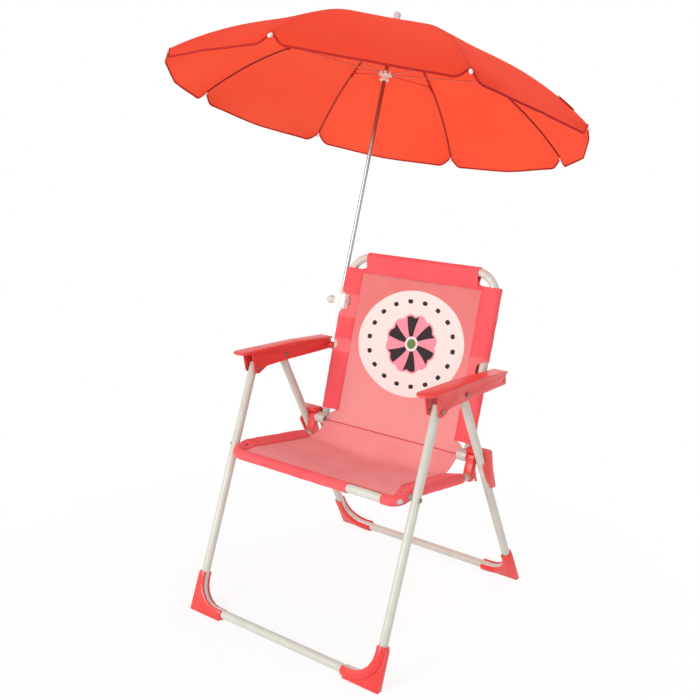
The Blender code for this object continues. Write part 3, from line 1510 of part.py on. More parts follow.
def build_canopy():
    """Eight flat panels stretched between the ribs, with a hem cut in at each tip."""
    half = math.pi / RIB_COUNT
    slope = CANOPY_RADIUS / (CANOPY_BALL - CANOPY_RISE)
    hem_out = CANOPY_HEM / math.hypot(1, slope)
    notch_share = CANOPY_NOTCH / (2 * CANOPY_RADIUS * math.sin(half))
    shares = [k / CANOPY_COLUMNS for k in range(CANOPY_COLUMNS)]
    shares[1:1] = [notch_share]
    shares.append(1 - notch_share)
    layers = []
    mesh_data = bmesh.new()
    for lift in (CANOPY_CLOTH / 2, -CANOPY_CLOTH / 2):
        rings = []
        for row in range(CANOPY_ROWS + 2):
            ring = []
            for number in range(RIB_COUNT):
                turn = Matrix.Rotation(
                    RIB_PHASE + half * (2 * number + 1), 4, "Z"
                )
                for share in shares:
                    point = canopy_point(CANOPY_RADII[min(row, CANOPY_ROWS)], share)
                    if row > CANOPY_ROWS:
                        reach = 0 if share == 0 else 1
                        point.x += hem_out * reach + CLOTH * (1 - reach)
                        point.z -= hem_out * slope * reach
                    point.z += lift
                    ring.append(mesh_data.verts.new(PARASOL_FRAME @ turn @ point))
            rings.append(ring)
        skin(mesh_data, rings)
        layers.append(rings)
    skin(mesh_data, [layers[0][0], layers[1][0]])
    skin(mesh_data, [layers[0][-1], layers[1][-1]])
    finish_piece("canopy", mesh_data, "pole", "parasol_cloth")

    # Tie strap, sewn on outside one rib
    frame = rib_frame(STRAP_RIB)
    middle = CANOPY_RADIUS - STRAP_INSET
    start = middle - STRAP_LENGTH / 2
    stop = middle + STRAP_LENGTH / 2
    lift = CANOPY_CLOTH / 2 + CLEARANCE + STRAP_THICKNESS / 2
    path = [
        in_frame(frame, dome_place(r, -lift)) for r in (start, middle, stop)
    ]
    normal = frame.to_3x3() @ Vector((0, 1, 0))
    thick = STRAP_THICKNESS / 2
    wide = STRAP_WIDTH / 2
    profile = [
        Vector((-thick, -wide)),
        Vector((thick, -wide)),
        Vector((thick, wide)),
        Vector((-thick, wide)),
    ]
    mesh_data = bmesh.new()
    add_bar(mesh_data, path, profile, normal)
    finish_piece("tie_strap", mesh_data, f"rib_{STRAP_RIB + 1}", "parasol_cloth")


def build_bodies():
    """Empties on the axes of every joint."""
    add_body("front", Vector((0, 0, 0)))
    for side in (1, -1):
        add_body(side_name("armrest", side), on_plane(0, ARM_FRONT_PIVOT), "front")
    add_body("rear", on_plane(0, ARM_MIDDLE_PIVOT), "armrest_left")
    add_body("back", on_plane(0, ARM_REAR_PIVOT), "armrest_left")
    add_body("seat", on_plane(0, SEAT_FRONT_PIVOT), "front")
    add_body(
        "clamp_knob", CLAMP_FRAME @ Vector((0, -SCREW_FRONT, 0)), "back"
    )
    add_body("pole", POLE_IN_CLAMP, "back")
    add_body("runner", PARASOL_FRAME @ Vector((0, 0, RUNNER_HEIGHT)), "pole")
    for number in range(RIB_COUNT):
        frame = rib_frame(number)
        rib = f"rib_{number + 1}"
        add_body(rib, in_frame(frame, HINGE_PLACE), "pole")
        joint = in_frame(frame, STRETCHER_PLACE)
        add_body(f"stretcher_{number + 1}", joint, rib)


def stand_on_origin():
    """Moves the whole chair so that its box stands centred on the origin."""
    bpy.context.view_layer.update()
    graph = bpy.context.evaluated_depsgraph_get()
    low = Vector((math.inf,) * 3)
    high = -low
    for piece in bpy.data.objects:
        if piece.type != "MESH" or piece.hide_render:
            continue
        shown = piece.evaluated_get(graph)
        for vertex in shown.data.vertices:
            place = piece.matrix_world @ vertex.co
            low = Vector(map(min, low, place))
            high = Vector(map(max, high, place))
    root = bodies["front"][0]
    root.location -= Vector(((low.x + high.x) / 2, (low.y + high.y) / 2, low.z))
    bpy.context.view_layer.update()


def main():
    """Builds the chair and its parasol."""
    clear_scene()
    build_materials()
    build_bodies()
    build_leg_frame(
        "front_frame",
        "front",
        FRONT_CROSS_Y,
        FRONT_LEAN,
        (ARM_FRONT_PIVOT, SEAT_FRONT_PIVOT),
    )
    build_leg_frame("rear_frame", "rear", REAR_CROSS_Y, REAR_LEAN, (ARM_MIDDLE_PIVOT,))
    build_seat_frame()
    build_back_frame()
    for side in (1, -1):
        build_foot(
            side_name("front_foot", side), "front", FRONT_CROSS_Y, FRONT_LEAN, side
        )
        build_foot(side_name("rear_foot", side), "rear", REAR_CROSS_Y, REAR_LEAN, side)
        build_armrest(side)
        build_seat_end(side)
        build_bracket(side)
    build_rivets()
    build_back_sling()
    build_seat_sling()
    build_clamp()
    build_pole()
    build_ribs()
    build_canopy()
    stand_on_origin()


main()
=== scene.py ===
"""Looks of a child's folding armchair with a clip-on parasol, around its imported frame.

Sizes are metres. Every shape is worked out in the chair's own places, where x = 0 is
the middle of the seat and the floor is z = 0, and is moved by the chair's origin when
its mesh is finished. The linkage's pivots and the parasol's axis are read from the
frame's joints, so the dressed pieces follow the solids.
"""

import json
import logging
import math
from collections.abc import Callable, Iterable, Sequence
from dataclasses import dataclass, replace
from enum import Enum

import bmesh
import bpy
from mathutils import Matrix, Vector, noise


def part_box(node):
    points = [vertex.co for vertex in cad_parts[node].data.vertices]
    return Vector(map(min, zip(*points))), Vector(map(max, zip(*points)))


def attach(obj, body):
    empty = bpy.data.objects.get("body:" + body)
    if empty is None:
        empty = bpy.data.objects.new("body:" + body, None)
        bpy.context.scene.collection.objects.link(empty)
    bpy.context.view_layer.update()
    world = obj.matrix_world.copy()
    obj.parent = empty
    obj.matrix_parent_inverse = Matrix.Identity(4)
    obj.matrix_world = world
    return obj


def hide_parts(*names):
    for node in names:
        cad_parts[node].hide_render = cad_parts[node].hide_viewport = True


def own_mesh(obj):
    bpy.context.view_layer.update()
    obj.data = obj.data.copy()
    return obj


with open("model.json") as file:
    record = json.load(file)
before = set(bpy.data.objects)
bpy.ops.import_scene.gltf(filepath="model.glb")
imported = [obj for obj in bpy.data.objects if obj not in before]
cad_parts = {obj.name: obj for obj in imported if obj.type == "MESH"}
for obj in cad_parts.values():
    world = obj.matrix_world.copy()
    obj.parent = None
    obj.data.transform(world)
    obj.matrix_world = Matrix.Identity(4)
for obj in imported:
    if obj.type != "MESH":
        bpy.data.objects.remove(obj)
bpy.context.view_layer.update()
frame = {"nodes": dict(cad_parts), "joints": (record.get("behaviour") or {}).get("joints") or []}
LOG = logging.getLogger("folding_armchair")
PHOTO_SIDE = 700
JOINTS = {joint["name"]: joint for joint in frame["joints"]}
ACROSS = Vector((1, 0, 0))
UP = Vector((0, 0, 1))
ORIGIN = Vector((0, 0, 0))
# Degrees over which an edge shows, on cloth, on metal and on moulded pieces
SMOOTH_ANGLE = 60.0
METAL_ANGLE = 50.0
MOULDED_ANGLE = 32.0
# Degrees over which an edge of a moulded piece is rounded
ROUNDED_ANGLE = 38.0


class Side(Enum):
    """The two sides of the chair, as the sitter has them."""

    RIGHT = 1
    LEFT = -1

    def named(self, base: str) -> str:
        """Name of a piece or node on this side."""
        return f"{base}_{self.name.lower()}"


class Body(Enum):
    """The moving bodies of the frame that pieces ride on."""

    FRONT = "front_legs"
    REAR = "rear_legs"
    SEAT = "seat"
    BACK = "backrest"
    SCREW = "clamp_screw"
    POLE = "parasol_pole"
    RUNNER = "parasol_runner"

    @staticmethod
    def armrest(side: Side) -> str:
        """Name of the body that carries one armrest."""
        return f"armrest_{side.name.lower()}_side"


def screen_colour(red: int, green: int, blue: int) -> tuple[float, float, float]:
    """Linear colour of a colour as a screen shows it.

    Args:
        red: Red, 0 to 255.
        green: Green, 0 to 255.
        blue: Blue, 0 to 255.

    Returns:
        The linear red, green and blue.
    """
    linear = []
    for channel in (red, green, blue):
        share = channel / 255
        linear.append(
            share / 12.92 if share < 0.04045 else ((share + 0.055) / 1.055) ** 2.4
        )
    return tuple(linear)


# Shader building


def _math(operation: str, comes_last: bool = False) -> Callable[..., "Number"]:
    """Method of Number that adds one Math node.

    Args:
        operation: What the node works out.
        comes_last: Whether the number itself is the node's last input.

    Returns:
        The method.
    """

    def method(self: "Number", *others: "Number | float") -> "Number":
        """Adds the Math node and returns what comes out of it."""
        terms = (*others, self) if comes_last else (self, *others)
        sockets = dict(enumerate(terms))
        made = self.work.out("ShaderNodeMath", sockets, operation=operation)
        return Number(self.work, made)

    return method


class Number:
    """A number in a node tree that Python sums can use."""

    def __init__(self, work: "Tree", socket: bpy.types.NodeSocket) -> None:
        """Wraps an output socket of a tree under construction."""
        self.work = work
        self.socket = socket

    __add__ = __radd__ = _math("ADD")
    __sub__ = _math("SUBTRACT")
    __rsub__ = _math("SUBTRACT", comes_last=True)
    __mul__ = __rmul__ = _math("MULTIPLY")
    __truediv__ = _math("DIVIDE")
    __abs__ = _math("ABSOLUTE")
    sine = _math("SINE")
    cosine = _math("COSINE")
    angle_to = _math("ARCTAN2")
    larger = _math("MAXIMUM")
    root = _math("SQRT")

    def length_with(self, other: "Number") -> "Number":
        """Length of the flat arrow whose two legs are the numbers."""
        return (self * self + other * other).root()

    def inside(self, edge: float, soft: float) -> "Number":
        """1 below an edge and 0 above it, with a soft step between.

        Args:
            edge: Value at the middle of the step.
            soft: Half width of the step.

        Returns:
            The mask.
        """
        sockets = {0: self, 1: edge - soft, 2: edge + soft, 3: 1.0, 4: 0.0}
        made = self.work.out(
            "ShaderNodeMapRange", sockets, interpolation_type="SMOOTHSTEP"
        )
        return Number(self.work, made)


class Tree:
    """A node tree under construction."""

    def __init__(self, tree: bpy.types.NodeTree) -> None:
        """Empties a tree."""
        self.tree = tree
        tree.nodes.clear()

    def node(
        self, kind: str, sockets: dict[object, object] | None = None, **settings: object
    ) -> bpy.types.Node:
        """Adds a node.

        Args:
            kind: Type name of the node.
            sockets: Values or links of its inputs, by name or number.
            settings: Properties of the node, set first.

        Returns:
            The new node.
        """
        node = self.tree.nodes.new(kind)
        for name, value in settings.items():
            setattr(node, name, value)
        for key, value in (sockets or {}).items():
            socket = node.inputs[key]
            if isinstance(value, Number):
                value = value.socket
            if isinstance(value, bpy.types.NodeSocket):
                self.tree.links.new(value, socket)
            elif isinstance(value, tuple) and len(value) == 3 and socket.type == "RGBA":
                socket.default_value = (*value, 1.0)
            else:
                socket.default_value = value
        return node

    def out(
        self, kind: str, sockets: dict[object, object] | None = None, **settings: object
    ) -> bpy.types.NodeSocket:
        """First output of a new node; the arguments are those of node()."""
        return self.node(kind, sockets, **settings).outputs[0]


class Paint(Tree):
    """One material under construction."""

    def __init__(self, name: str) -> None:
        """Starts an empty material."""
        self.material = bpy.data.materials.new(name)
        self.material.use_nodes = True
        super().__init__(self.material.node_tree)

    def place(self, kind: str = "Object") -> bpy.types.NodeSocket:
        """Coordinates of the surface: Object, or UV in metres of cloth."""
        return self.node("ShaderNodeTexCoord").outputs[kind]

    def parts(self, vector: bpy.types.NodeSocket) -> tuple[Number, Number, Number]:
        """The three numbers of a vector."""
        node = self.node("ShaderNodeSeparateXYZ", {0: vector})
        return tuple(Number(self, output) for output in node.outputs)

    def speckle(
        self, vector: bpy.types.NodeSocket, scale: float, detail: float = 3.0
    ) -> Number:
        """Soft noise from 0 to 1 at a scale in cycles per metre."""
        sockets = {"Vector": vector, "Scale": scale, "Detail": detail}
        return Number(self, self.node("ShaderNodeTexNoise", sockets).outputs["Fac"])

    def blend(self, mask: Number | float, first: object, second: object) -> object:
        """Colour that goes from the first to the second as the mask goes to 1."""
        sockets = {"Factor": mask, 6: first, 7: second}
        return self.node("ShaderNodeMix", sockets, data_type="RGBA").outputs[2]

    def over(self, base: object, mask: Number, colour: tuple[int, int, int]) -> object:
        """Base colour with a screen colour laid over it where the mask is 1."""
        return self.blend(mask, base, screen_colour(*colour))

    def relief(self, height: Number, distance: float, strength: float) -> object:
        """Normal of a height field, heights counted as shares of a distance."""
        sockets = {"Height": height, "Distance": distance, "Strength": strength}
        return self.out("ShaderNodeBump", sockets)

    def finish(self, shader: bpy.types.NodeSocket) -> bpy.types.Material:
        """Connects the shader and returns the finished material."""
        self.node("ShaderNodeOutputMaterial", {"Surface": shader})
        return self.material


class Finish:
    """A finish that is made once and shared by the pieces that have it."""

    made: dict[str, bpy.types.Material] = {}
    name: str = ""
    slot: str = ""

    def build(self) -> bpy.types.Material:
        """Makes the material; each finish has its own."""
        raise NotImplementedError

    def material(self) -> bpy.types.Material:
        """The material, made at first use."""
        if self.name not in Finish.made:
            Finish.made[self.name] = self.build()
        return Finish.made[self.name]


@dataclass(frozen=True)
class HardFinish(Finish):
    """Hard surface with soft clouds of a second colour and a fine grain."""

    name: str = "coral_plastic"
    slot: str = "coral_plastic"
    colour: tuple[int, int, int] = (226, 52, 48)
    shade: tuple[int, int, int] = (234, 76, 70)
    roughness: float = 0.34
    gloss_swing: float = 0.12
    cloud_scale: float = 24.0
    cloud_edge: float = 0.50
    cloud_soft: float = 0.20
    cloud_share: float = 0.30
    grain_scale: float = 1400.0
    grain_detail: float = 2.0
    grain_depth: float = 0.00005
    grain_strength: float = 0.45
    coat: float = 0.12
    coat_roughness: float = 0.25
    metallic: float = 0.0
    clearness: float = 0.0

    def shades(self) -> tuple[tuple[float, ...], tuple[float, ...]]:
        """The two linear colours that the clouds mix."""
        return screen_colour(*self.colour), screen_colour(*self.shade)

    def build(self) -> bpy.types.Material:
        """Makes the material."""
        paint = Paint(self.name)
        place = paint.place()
        cloud = paint.speckle(place, self.cloud_scale)
        grain = paint.speckle(place, self.grain_scale, self.grain_detail)
        mottle = grain if self.metallic else cloud
        mask = mottle.inside(self.cloud_edge, self.cloud_soft) * self.cloud_share
        middle = self.roughness - self.gloss_swing / 2
        sockets = {
            "Base Color": paint.blend(mask, *self.shades()),
            "Roughness": cloud * self.gloss_swing + middle,
            "Metallic": self.metallic,
            "Coat Weight": self.coat,
            "Coat Roughness": self.coat_roughness,
            "Transmission Weight": self.clearness,
            "Normal": paint.relief(grain, self.grain_depth, self.grain_strength),
        }
        return paint.finish(paint.out("ShaderNodeBsdfPrincipled", sockets))


@dataclass(frozen=True)
class BareMetal(HardFinish):
    """Bright or zinc-plated metal whose fine marks are darker."""

    name: str = "chrome_tube"
    slot: str = "chrome"
    colour: tuple[int, int, int] = (160, 159, 160)
    roughness: float = 0.22
    gloss_swing: float = 0.14
    cloud_scale: float = 30.0
    cloud_share: float = 0.25
    grain_scale: float = 160.0
    grain_detail: float = 4.0
    grain_depth: float = 0.00002
    grain_strength: float = 0.3
    coat: float = 0.0
    metallic: float = 1.0
    mark_shade: float = 0.7

    def shades(self) -> tuple[tuple[float, ...], tuple[float, ...]]:
        """The metal's linear colour and that of its marks."""
        bright = screen_colour(*self.colour)
        return bright, tuple(channel * self.mark_shade for channel in bright)


CORAL_PLASTIC = HardFinish()
WHITE_PLASTIC = HardFinish(
    "white_plastic", "white_plastic", (238, 236, 230), (246, 245, 241), 0.38
)
CLEAR_PLASTIC = HardFinish(
    "half_clear_plastic",
    "clear_plastic",
    (228, 229, 228),
    (240, 240, 240),
    0.22,
    clearness=0.45,
)
FINIAL_PLASTIC = HardFinish(
    "finial_plastic", "white_plastic", (206, 206, 204), (220, 220, 218), 0.30
)
POWDER_COAT = HardFinish(
    "off_white_powder_coat",
    "painted_steel",
    (206, 205, 195),
    (188, 186, 176),
    0.36,
    gloss_swing=0.10,
    cloud_scale=38.0,
    cloud_edge=0.52,
    cloud_soft=0.16,
    cloud_share=0.35,
    grain_scale=900.0,
    grain_detail=1.0,
    grain_depth=0.00006,
    grain_strength=0.5,
    coat=0.15,
    coat_roughness=0.2,
)
CHROME = BareMetal()
# The rib wire's dark red is painted reflection of the red canopy and painted shade under it; the
# stretcher wire's pink is painted reflection of the canopy
RIB_WIRE_PAINTED_REFLECTION = BareMetal(
    "rib_wire_painted_reflection", colour=(172, 96, 84), roughness=0.46, grain_scale=300.0
)
STRETCHER_WIRE_PAINTED_REFLECTION = replace(RIB_WIRE_PAINTED_REFLECTION, name="stretcher_wire", colour=(226, 142, 124))
RIVET_STEEL = BareMetal(
    "zinc_rivet", "rivet_steel", (146, 130, 124), roughness=0.40, grain_scale=500.0
)


@dataclass(frozen=True)
class PrintedBadge:
    """The pale oval badge printed on the back, with a striped ball and dots."""

    centre_along: float = 0.1460
    half_width: float = 0.1000
    half_height: float = 0.0850
    cream: tuple[int, int, int] = (253, 243, 238)
    dark: tuple[int, int, int] = (44, 34, 38)
    pink: tuple[int, int, int] = (250, 158, 176)
    green: tuple[int, int, int] = (108, 142, 74)
    ball_radius: float = 0.0480
    rim: float = 0.0030
    scallop: float = 0.0040
    swirl: float = 22.0
    heart_radius: float = 0.0080
    sectors: int = 12
    dots: int = 18
    dot_radius: float = 0.0034
    ring_share: float = 0.80
    soft: float = 0.0004
    stripe_soft: float = 0.03
    heart_ring: float = 1.5

    def printed(
        self, paint: Paint, across: Number, along: Number, base: object
    ) -> object:
        """Prints the badge over the cloth's colour.

        Args:
            paint: Material under construction.
            across: Place across the cloth in metres.
            along: Place up the cloth in metres.
            base: Colour of the bare cloth.

        Returns:
            The printed colour.
        """
        up = along - self.centre_along
        wide = across / self.half_width
        tall = up / self.half_height
        reach = wide.length_with(tall)
        oval = reach.inside(1.0, self.soft / self.half_height)
        colour = paint.over(base, oval, self.cream)

        # Dots stand in even steps round the oval
        phase = (tall.angle_to(wide) * self.dots).cosine()
        step = math.pi * self.ring_share * self.half_width / self.dots
        sideways = (1 - phase) * (step * 0.5)
        outward = (reach - self.ring_share) * self.half_height
        dots = sideways.length_with(outward).inside(self.dot_radius, self.soft)
        colour = paint.over(colour, dots, self.dark)

        # A striped ball of even sectors with a scalloped edge fills the middle
        radius = across.length_with(up)
        turns = up.angle_to(across) * (self.sectors / 2)
        scallop = abs(turns.sine()) * self.scallop
        ball = radius - self.ball_radius + self.scallop - scallop
        colour = paint.over(colour, ball.inside(0.0, self.soft), self.pink)
        stripe = (turns + radius * self.swirl).sine().inside(0.0, self.stripe_soft)
        dark = stripe * ball.inside(-self.rim, self.soft)
        colour = paint.over(colour, dark, self.dark)
        ring = radius.inside(self.heart_radius * self.heart_ring, self.soft)
        colour = paint.over(colour, ring, self.cream)
        heart = radius.inside(self.heart_radius, self.soft)
        return paint.over(colour, heart, self.green)


@dataclass(frozen=True)
class WovenCloth(Finish):
    """Plain-woven cloth on UV coordinates counted in metres of cloth."""

    name: str = "sling_single"
    slot: str = "sling_cloth"
    colour: tuple[int, int, int] = (240, 142, 139)
    shade: tuple[int, int, int] = (240, 122, 120)
    thread: float = 0.0011
    weave_depth: float = 0.00022
    roughness: float = 0.82
    glow: float = 0.18
    cloud_scale: float = 16.0
    sheen: float = 0.10
    # Painted light: a lighter, paler colour laid over the cloth towards its foot, centred and
    # spread up the cloth by the next two sizes
    painted_light: tuple[int, int, int] | None = None
    painted_light_middle: float = 0.110
    painted_light_half: float = 0.100
    badge: PrintedBadge | None = None
    cloud_edge: float = 0.48
    cloud_soft: float = 0.22
    cloud_share: float = 0.6
    gap_share: float = 0.30
    gap_shade: float = 0.72
    slub_scale: float = 420.0
    slub_share: float = 0.10
    slub_relief: float = 0.3
    weave_strength: float = 0.6
    thread_soft: float = 0.35
    gloss_swing: float = 0.10

    def build(self) -> bpy.types.Material:
        """Makes the cloth."""
        paint = Paint(self.name)
        across, along, _ = paint.parts(paint.place("UV"))
        pitch = math.pi / self.thread
        warp = abs((across * pitch).sine())
        weft = abs((along * pitch).sine())
        crossing = (across * pitch).cosine() * (along * pitch).cosine()
        over = crossing.inside(0.0, self.thread_soft)
        weave = warp * over + weft * (1 - over)
        cloud = paint.speckle(paint.place(), self.cloud_scale)
        slub = paint.speckle(paint.place("UV"), self.slub_scale, 2.0)
        mottle = cloud.inside(self.cloud_edge, self.cloud_soft) * self.cloud_share
        base = paint.over(screen_colour(*self.colour), mottle, self.shade)
        # Painted light: the cloth turns lighter and paler towards its foot
        if self.painted_light:
            painted_light = along.inside(self.painted_light_middle, self.painted_light_half)
            base = paint.over(base, painted_light, self.painted_light)
        gaps = (1 - weave) * self.gap_share + slub * self.slub_share
        dark = tuple(channel * self.gap_shade for channel in screen_colour(*self.shade))
        base = paint.blend(gaps, base, dark)
        if self.badge:
            base = self.badge.printed(paint, across, along, base)
        relief = weave + slub * self.slub_relief
        normal = paint.relief(relief, self.weave_depth, self.weave_strength)
        middle = self.roughness - self.gloss_swing / 2
        sockets = {
            "Base Color": base,
            "Roughness": slub * self.gloss_swing + middle,
            "Sheen Weight": self.sheen,
            "Normal": normal,
        }
        body = paint.out("ShaderNodeBsdfPrincipled", sockets)
        sockets = {"Color": base, "Normal": normal}
        through = paint.out("ShaderNodeBsdfTranslucent", sockets)
        sockets = {0: self.glow, 1: body, 2: through}
        return paint.finish(paint.out("ShaderNodeMixShader", sockets))


# The back's cloth is painted lighter and paler towards its foot, as painted light
BACK_LINING = WovenCloth("sling_back_rear", painted_light=(255, 172, 170))
BACK_CLOTH = replace(BACK_LINING, name="sling_back_single", badge=PrintedBadge())
SEAT_CLOTH = WovenCloth(
    "sling_seat_single", colour=(255, 168, 169), shade=(255, 148, 150)
)
DOUBLED_CLOTH = WovenCloth(
    "sling_doubled", colour=(255, 98, 104), shade=(250, 80, 88), glow=0.08
)
TURNED_CLOTH = replace(
    DOUBLED_CLOTH, name="sling_turned", colour=(250, 122, 124), shade=(246, 104, 108)
)
THREAD = WovenCloth(
    "sewing_thread", colour=(236, 74, 84), shade=(214, 54, 66), thread=0.0004, glow=0.0
)
# Rolled hem at the seat's rear: deep red, partly the folded cloth's own colour and partly
# painted shade of the crease between seat and back
HEM_CLOTH_CREASE_SHADE = WovenCloth(
    "rolled_hem_crease_shade", colour=(232, 84, 94), shade=(214, 70, 80), thread=0.0006, glow=0.0
)
CANOPY_CLOTH = WovenCloth(
    "parasol_cloth",
    "parasol_cloth",
    (255, 106, 70),
    (254, 94, 60),
    thread=0.0007,
    weave_depth=0.00008,
    roughness=0.78,
    glow=0.62,
    cloud_scale=7.0,
    sheen=0.0,
)
# Painted light: the underside of the same single cloth, lighter and paler than its top, for the
# light that comes through the canopy
CANOPY_UNDERSIDE_LIGHT = replace(
    CANOPY_CLOTH,
    name="parasol_cloth_inside",
    colour=(255, 142, 102),
    shade=(255, 130, 92),
)
BINDING_CLOTH = WovenCloth(
    "parasol_binding",
    "parasol_cloth",
    (218, 36, 24),
    (200, 28, 20),
    thread=0.0008,
    weave_depth=0.00010,
    roughness=0.8,
    glow=0.30,
    sheen=0.0,
)


# Shape building

Spot = tuple[Vector, tuple[float, float]]


def even(start: float, stop: float, count: int) -> list[float]:
    """Numbers in even steps from start to stop, both among them."""
    return [start + (stop - start) * k / count for k in range(count + 1)]


def arc(
    centre: Vector, reach: Vector, first: float, sweep: float, count: int
) -> list[Vector]:
    """Places along part of an ellipse in a flat.

    Args:
        centre: Middle of the ellipse.
        reach: Its half width and half height.
        first: Angle of the first place, in degrees.
        sweep: Turn from the first place to the last, in degrees.
        count: Steps between them.

    Returns:
        The places.
    """
    turns = (math.radians(angle) for angle in even(first, first + sweep, count))
    return [
        centre + Vector((reach.x * math.cos(turn), reach.y * math.sin(turn)))
        for turn in turns
    ]


def ellipse(wide: float, tall: float, sides: int) -> list[Vector]:
    """Points round the origin of a flat, from half width and half height."""
    return arc(Vector((0, 0)), Vector((wide, tall)), 0, 360, sides)[:-1]


def polygon(radius: float, sides: int) -> list[Vector]:
    """Points of a regular polygon round the origin of a flat."""
    return ellipse(radius, radius, sides)


def rounded_path(
    corners: Sequence[Vector], radii: Sequence[float], steps: int = 14
) -> list[Vector]:
    """Line through corners whose inner ones are bent.

    Args:
        corners: Places the line runs through.
        radii: Bend radius of each inner corner.
        steps: Pieces in a right-angled bend.

    Returns:
        The places along the line.
    """
    path = [corners[0]]
    for before, corner, after, radius in zip(corners, corners[1:], corners[2:], radii):
        back = (before - corner).normalized()
        ahead = (after - corner).normalized()
        half = back.angle(ahead) / 2
        centre = corner + (back + ahead).normalized() * (radius / math.sin(half))
        start = corner + back * (radius / math.tan(half)) - centre
        stop = corner + ahead * (radius / math.tan(half)) - centre
        axis = start.cross(stop).normalized()
        sweep = start.angle(stop)
        count = max(3, round(steps * sweep / math.radians(90)))
        for k in range(count + 1):
            path.append(centre + Matrix.Rotation(sweep * k / count, 3, axis) @ start)
    path.append(corners[-1])
    return path


def path_length(path: Sequence[Vector]) -> float:
    """Length of a line through places."""
    return sum((b - a).length for a, b in zip(path, path[1:]))


def even_path(
    path: Sequence[Vector], start: float, stop: float, step: float
) -> list[Vector]:
    """Places at even steps along part of a line.

    Args:
        path: The line.
        start: Distance along it of the first place.
        stop: Distance along it of the last place.
        step: Largest step between places.

    Returns:
        The places.
    """
    marks = even(start, stop, max(2, math.ceil((stop - start) / step)))
    places = []
    run = 0.0
    segment = 0
    for mark in marks:
        while segment < len(path) - 2:
            length = (path[segment + 1] - path[segment]).length
            if run + length >= mark:
                break
            run += length
            segment += 1
        ahead = path[segment + 1] - path[segment]
        places.append(path[segment] + ahead.normalized() * (mark - run))
    return places


class Shape:
    """A mesh under construction in the chair's own places."""

    def __init__(self) -> None:
        """Starts an empty mesh with a UV map in metres."""
        self.mesh = bmesh.new()
        self.uv = self.mesh.loops.layers.uv.new("UVMap")

    def ring(self, places: Iterable[Vector]) -> list[bmesh.types.BMVert]:
        """Adds vertices at places."""
        return [self.mesh.verts.new(place) for place in places]

    def face(
        self,
        corners: Sequence[bmesh.types.BMVert],
        marks: Sequence[tuple[float, float]] | None = None,
    ) -> None:
        """Adds a face, with cloth marks for its corners where it has them."""
        made = self.mesh.faces.new(corners)
        made.smooth = True
        if marks:
            for loop, mark in zip(made.loops, marks):
                loop[self.uv].uv = mark

    def skin(self, rings: Sequence[Sequence[bmesh.types.BMVert]]) -> None:
        """Quads between each closed ring and the next."""
        for lower, upper in zip(rings, rings[1:]):
            for k in range(len(lower)):
                n = (k + 1) % len(lower)
                self.face((lower[k], lower[n], upper[n], upper[k]))

    def shell(self, rings: Sequence[Sequence[bmesh.types.BMVert]]) -> None:
        """Skin over rings with both ends closed."""
        self.skin(rings)
        self.face(rings[0][::-1])
        self.face(rings[-1])

    def sweep(
        self,
        path: Sequence[Vector],
        outline: Sequence[Vector],
        normal: Vector,
        scales: Sequence[float] | None = None,
    ) -> list[list[bmesh.types.BMVert]]:
        """Carries an outline square to a path, without a skin.

        Args:
            path: Places the outline's origin runs through.
            outline: Flat outline.
            normal: Direction that the outline's Y keeps closest to.
            scales: Size of the outline at each place.

        Returns:
            The rings of vertices.
        """
        rings = []
        for k, place in enumerate(path):
            ahead = path[min(k + 1, len(path) - 1)] - place
            behind = place - path[max(k - 1, 0)]
            tangent = (ahead.normalized() + behind.normalized()).normalized()
            side = tangent.cross(normal).normalized()
            top = side.cross(tangent)
            size = scales[k] if scales else 1.0
            rings.append(
                self.ring(place + (side * p.x + top * p.y) * size for p in outline)
            )
        return rings

    def prism(
        self,
        outline: Sequence[Vector],
        place: Callable[[Vector, float], Vector],
        depths: tuple[float, float],
    ) -> None:
        """Solid between two depths of a flat outline.

        Args:
            outline: The flat outline.
            place: Place in space of a point of it at a depth.
            depths: The two depths.
        """
        self.shell([self.ring(place(p, depth) for p in outline) for depth in depths])

    def turned(
        self, profile: Sequence[tuple[float, float]], sides: int, place: Matrix
    ) -> None:
        """Turns (distance, radius) marks about the Z axis of a place."""
        self.shell(
            [
                self.ring(place @ Vector((*p, along)) for p in polygon(radius, sides))
                for along, radius in profile
            ]
        )

    def cloth(self, rows: Sequence[Sequence[Spot]]) -> None:
        """Single layer of cloth through rows of places with their cloth marks."""
        lines = [self.ring(place for place, _ in row) for row in rows]
        for r in range(len(rows) - 1):
            for k in range(len(rows[r]) - 1):
                corners = ((r, k), (r, k + 1), (r + 1, k + 1), (r + 1, k))
                verts = [lines[row][column] for row, column in corners]
                self.face(verts, [rows[row][column][1] for row, column in corners])

    def done(
        self, name: str, finish: Finish, origin: Vector = ORIGIN
    ) -> bpy.types.Object:
        """Finished object with its place in its mesh.

        Args:
            name: Name of the piece.
            finish: Its finish.
            origin: The chair's origin in the frame.

        Returns:
            The object.
        """
        bmesh.ops.translate(self.mesh, vec=origin, verts=self.mesh.verts)
        return placed(name, to_data(self.mesh, name, finish))

    def solid(
        self,
        name: str,
        finish: Finish,
        origin: Vector = ORIGIN,
        angle: float = SMOOTH_ANGLE,
    ) -> bpy.types.Object:
        """Finished closed solid, smooth except over edges sharper than an angle."""
        return smooth_by_angle(face_outwards(self.done(name, finish, origin)), angle)


def to_data(
    mesh: bmesh.types.BMesh, name: str, finish: Finish | None = None
) -> bpy.types.Mesh:
    """Mesh data from a finished mesh under construction."""
    data = bpy.data.meshes.new(name)
    mesh.to_mesh(data)
    mesh.free()
    if finish:
        data.materials.clear()
        data.materials.append(finish.material())
    return data


def placed(name: str, data: bpy.types.ID) -> bpy.types.Object:
    """New object of some data, linked to the scene."""
    made = bpy.data.objects.new(name, data)
    bpy.context.scene.collection.objects.link(made)
    return made


